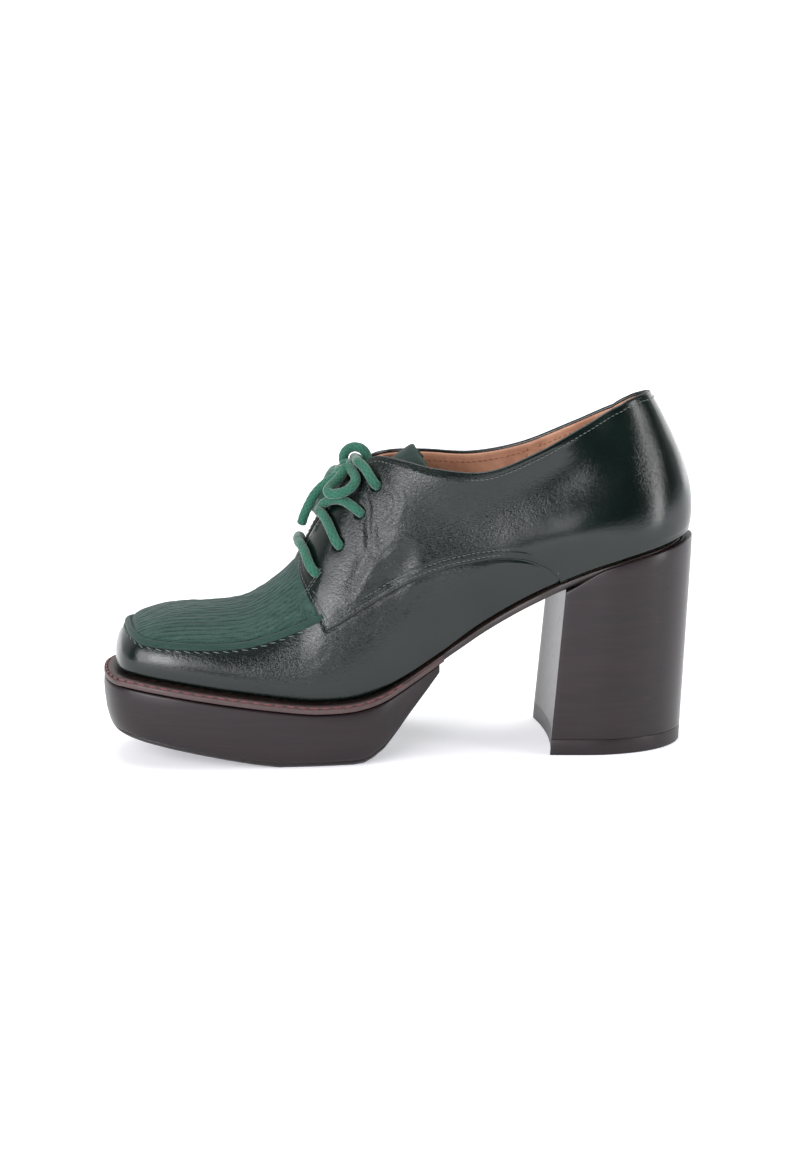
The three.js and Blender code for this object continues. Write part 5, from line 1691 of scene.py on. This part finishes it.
def floor():
    mesh = bpy.data.meshes.new("floor")
    mesh.from_pydata([(x * 12.0, y * 12.0, 0) for x, y in ((-1, -1), (1, -1), (1, 1), (-1, 1))], [], [(0, 1, 2, 3)])
    made = put("floor", mesh)
    f = Finish("white_floor", Roughness=0.7, Specular_IOR_Level=0.2)
    f.set("Base Color", (0.88, 0.88, 0.88, 1))
    away = f.node("ShaderNodeVectorMath", {"operation": "LENGTH"}, {0: f.place}, out="Value")
    f.set("Emission Color", f.blend(away.smooth(0.2, 1.1), (0.32, 0.325, 0.345), (0.86, 0.885, 0.95)))
    f.set("Emission Strength", 1.0)
    made.data.materials.append(f.material)


floor()

# %% [markdown]
# ## Light
# A large soft box on the left gives the long highlights, and a smaller one in
# front of it their bright middle. A weak one fills the front, one on the
# right edges the heel, and two light the back and the top. The room is dim
# near the horizon, so that the gloss has something dark to show.

# %% Lights


def softbox(name, location, aim, size, power, colour):
    data = bpy.data.lights.new(name, "AREA")
    data.shape = "RECTANGLE"
    data.size, data.size_y = size
    data.energy = power
    data.color = colour
    lamp = put(name, data)
    lamp.location = location
    lamp.visible_camera = False
    lamp.rotation_mode = "QUATERNION"
    lamp.rotation_quaternion = (Vector(aim) - Vector(location)).to_track_quat("-Z", "Y")


COOL, PLAIN = (0.97, 0.96, 1.0), (1, 1, 1)
# name, where it hangs, where it aims, width and height in metres, watts, colour
LAMPS = [
    ("left_box", (-1.0, -1.1, 0.56), (0, 0, 0.08), (1.75, 0.95), 30, COOL),
    ("left_core", (-0.62, -1.28, 0.54), (0, 0, 0.08), (0.42, 0.42), 3.6, COOL),
    ("front_fill", (-0.10, -1.5, 0.46), (0, 0, 0.08), (0.46, 0.5), 2.0, COOL),
    ("right_strip", (1.12, -0.64, 0.42), (0.08, 0, 0.08), (0.36, 0.95), 7.5, PLAIN),
    ("back_box", (1.0, 0.95, 0.45), (0, 0, 0.08), (0.9, 0.9), 5.5, PLAIN),
    ("top_box", (0.0, 0.1, 1.5), (0, 0, 0), (1.1, 1.1), 10, PLAIN),
]
for lamp in LAMPS:
    softbox(*lamp)
print("lamps:", len(LAMPS))

# %% [markdown]
# The camera sees white where it looks past the floor. For gloss and shade the
# room is dim near the horizon, and brighter overhead and behind the shoe.

# %% Room


def room():
    world = bpy.data.worlds.new("room")
    world.use_nodes = True
    bpy.context.scene.world = world
    tree = world.node_tree
    tree.nodes.clear()
    direction = make_node(tree, "ShaderNodeTexCoord", out="Generated")
    behind, height = (make_node(tree, "ShaderNodeSeparateXYZ", {}, {0: direction}, out=axis) for axis in (1, 2))
    glow = height.smooth(0.5, 0.85) * 0.4 + behind.smooth(-0.1, 0.4) * 0.9 + 0.06
    seen = make_node(tree, "ShaderNodeLightPath", out="Is Camera Ray")
    strength = glow * (1 - seen) + seen
    background = tree.nodes.new("ShaderNodeBackground")
    tree.links.new(strength.socket, background.inputs["Strength"])
    output = tree.nodes.new("ShaderNodeOutputWorld")
    tree.links.new(background.outputs[0], output.inputs[0])


room()
bpy.context.scene.view_settings.view_transform = "Standard"
bpy.context.scene.view_settings.look = "None"
print("view transform:", bpy.context.scene.view_settings.view_transform)

# %% [markdown]
# ## Tying the pieces to the frame
# Every piece rides on the shoe's one body. A piece that stands for a solid
# of the frame hides that solid.

# %% Riding, replacing and slots
# piece, finish, slot, and the frame's node that it stands for; the stitches got their thread above
PIECES = [
    (quarters[0], leather, "green_leather", "upper"),
    (quarters[1], leather, "green_leather", None),
    (vamp_piece, leather, "green_leather", None),
    (apron_piece, apron_suede, "green_leather", None),
    (border, border_suede, "green_leather", None),
    (lining_piece, lining_leather, "tan_leather", None),
    (insole_piece, lining_leather, "tan_leather", "insole"),
    (tongue_piece, tongue_finish, "tongue_suede", "tongue"),
    (welt_piece, welt_leather, "welt_leather", "welt"),
    (waist_piece, waist_leather, "sole_edge", "sole_sheet"),
    (platform_piece, platform_wood, "dark_wood", "platform"),
    (heel_piece, heel_wood, "dark_wood", "heel_block"),
    (lift_piece, tip_rubber, "top_lift", "top_lift"),
    (lace_rows[0], lace_cotton, "lace", "lace_bar_low"),
    (lace_rows[1], lace_cotton, "lace", "lace_crossing"),
    (lace_rows[2], lace_cotton, "lace", None),
    (lace_rows[3], lace_cotton, "lace", "lace_bar_top"),
    (knot_piece, lace_cotton, "lace", "lace_knot"),
    (seams, None, "green_leather", None),
    (border_stitches, None, "green_leather", None),
    (welt_stitches, None, "welt_leather", None),
    (lining_stitches, None, "tan_leather", None),
    *((piece, lace_cotton, "lace", name) for name, (piece, path) in cords.items()),
]
for piece, finish, slot, node in PIECES:
    if finish:
        piece.data.materials.append(finish)
    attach(piece, "root")
    if node:
        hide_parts(node)
for name, (piece, path) in cords.items():
    tuple(path[0] * MM)
    "object" if "loop" in name else "bare"
    (path[::4] * MM).tolist() + [(path[-1] * MM).tolist()]
print(len(PIECES), "pieces ride on the root, and", len(cords), "of them are free cords")

# %% [markdown]
# Last, the triangles of all pieces are counted.

# %% Triangle count
print("triangles in all:", sum(triangles(row[0]) for row in PIECES))
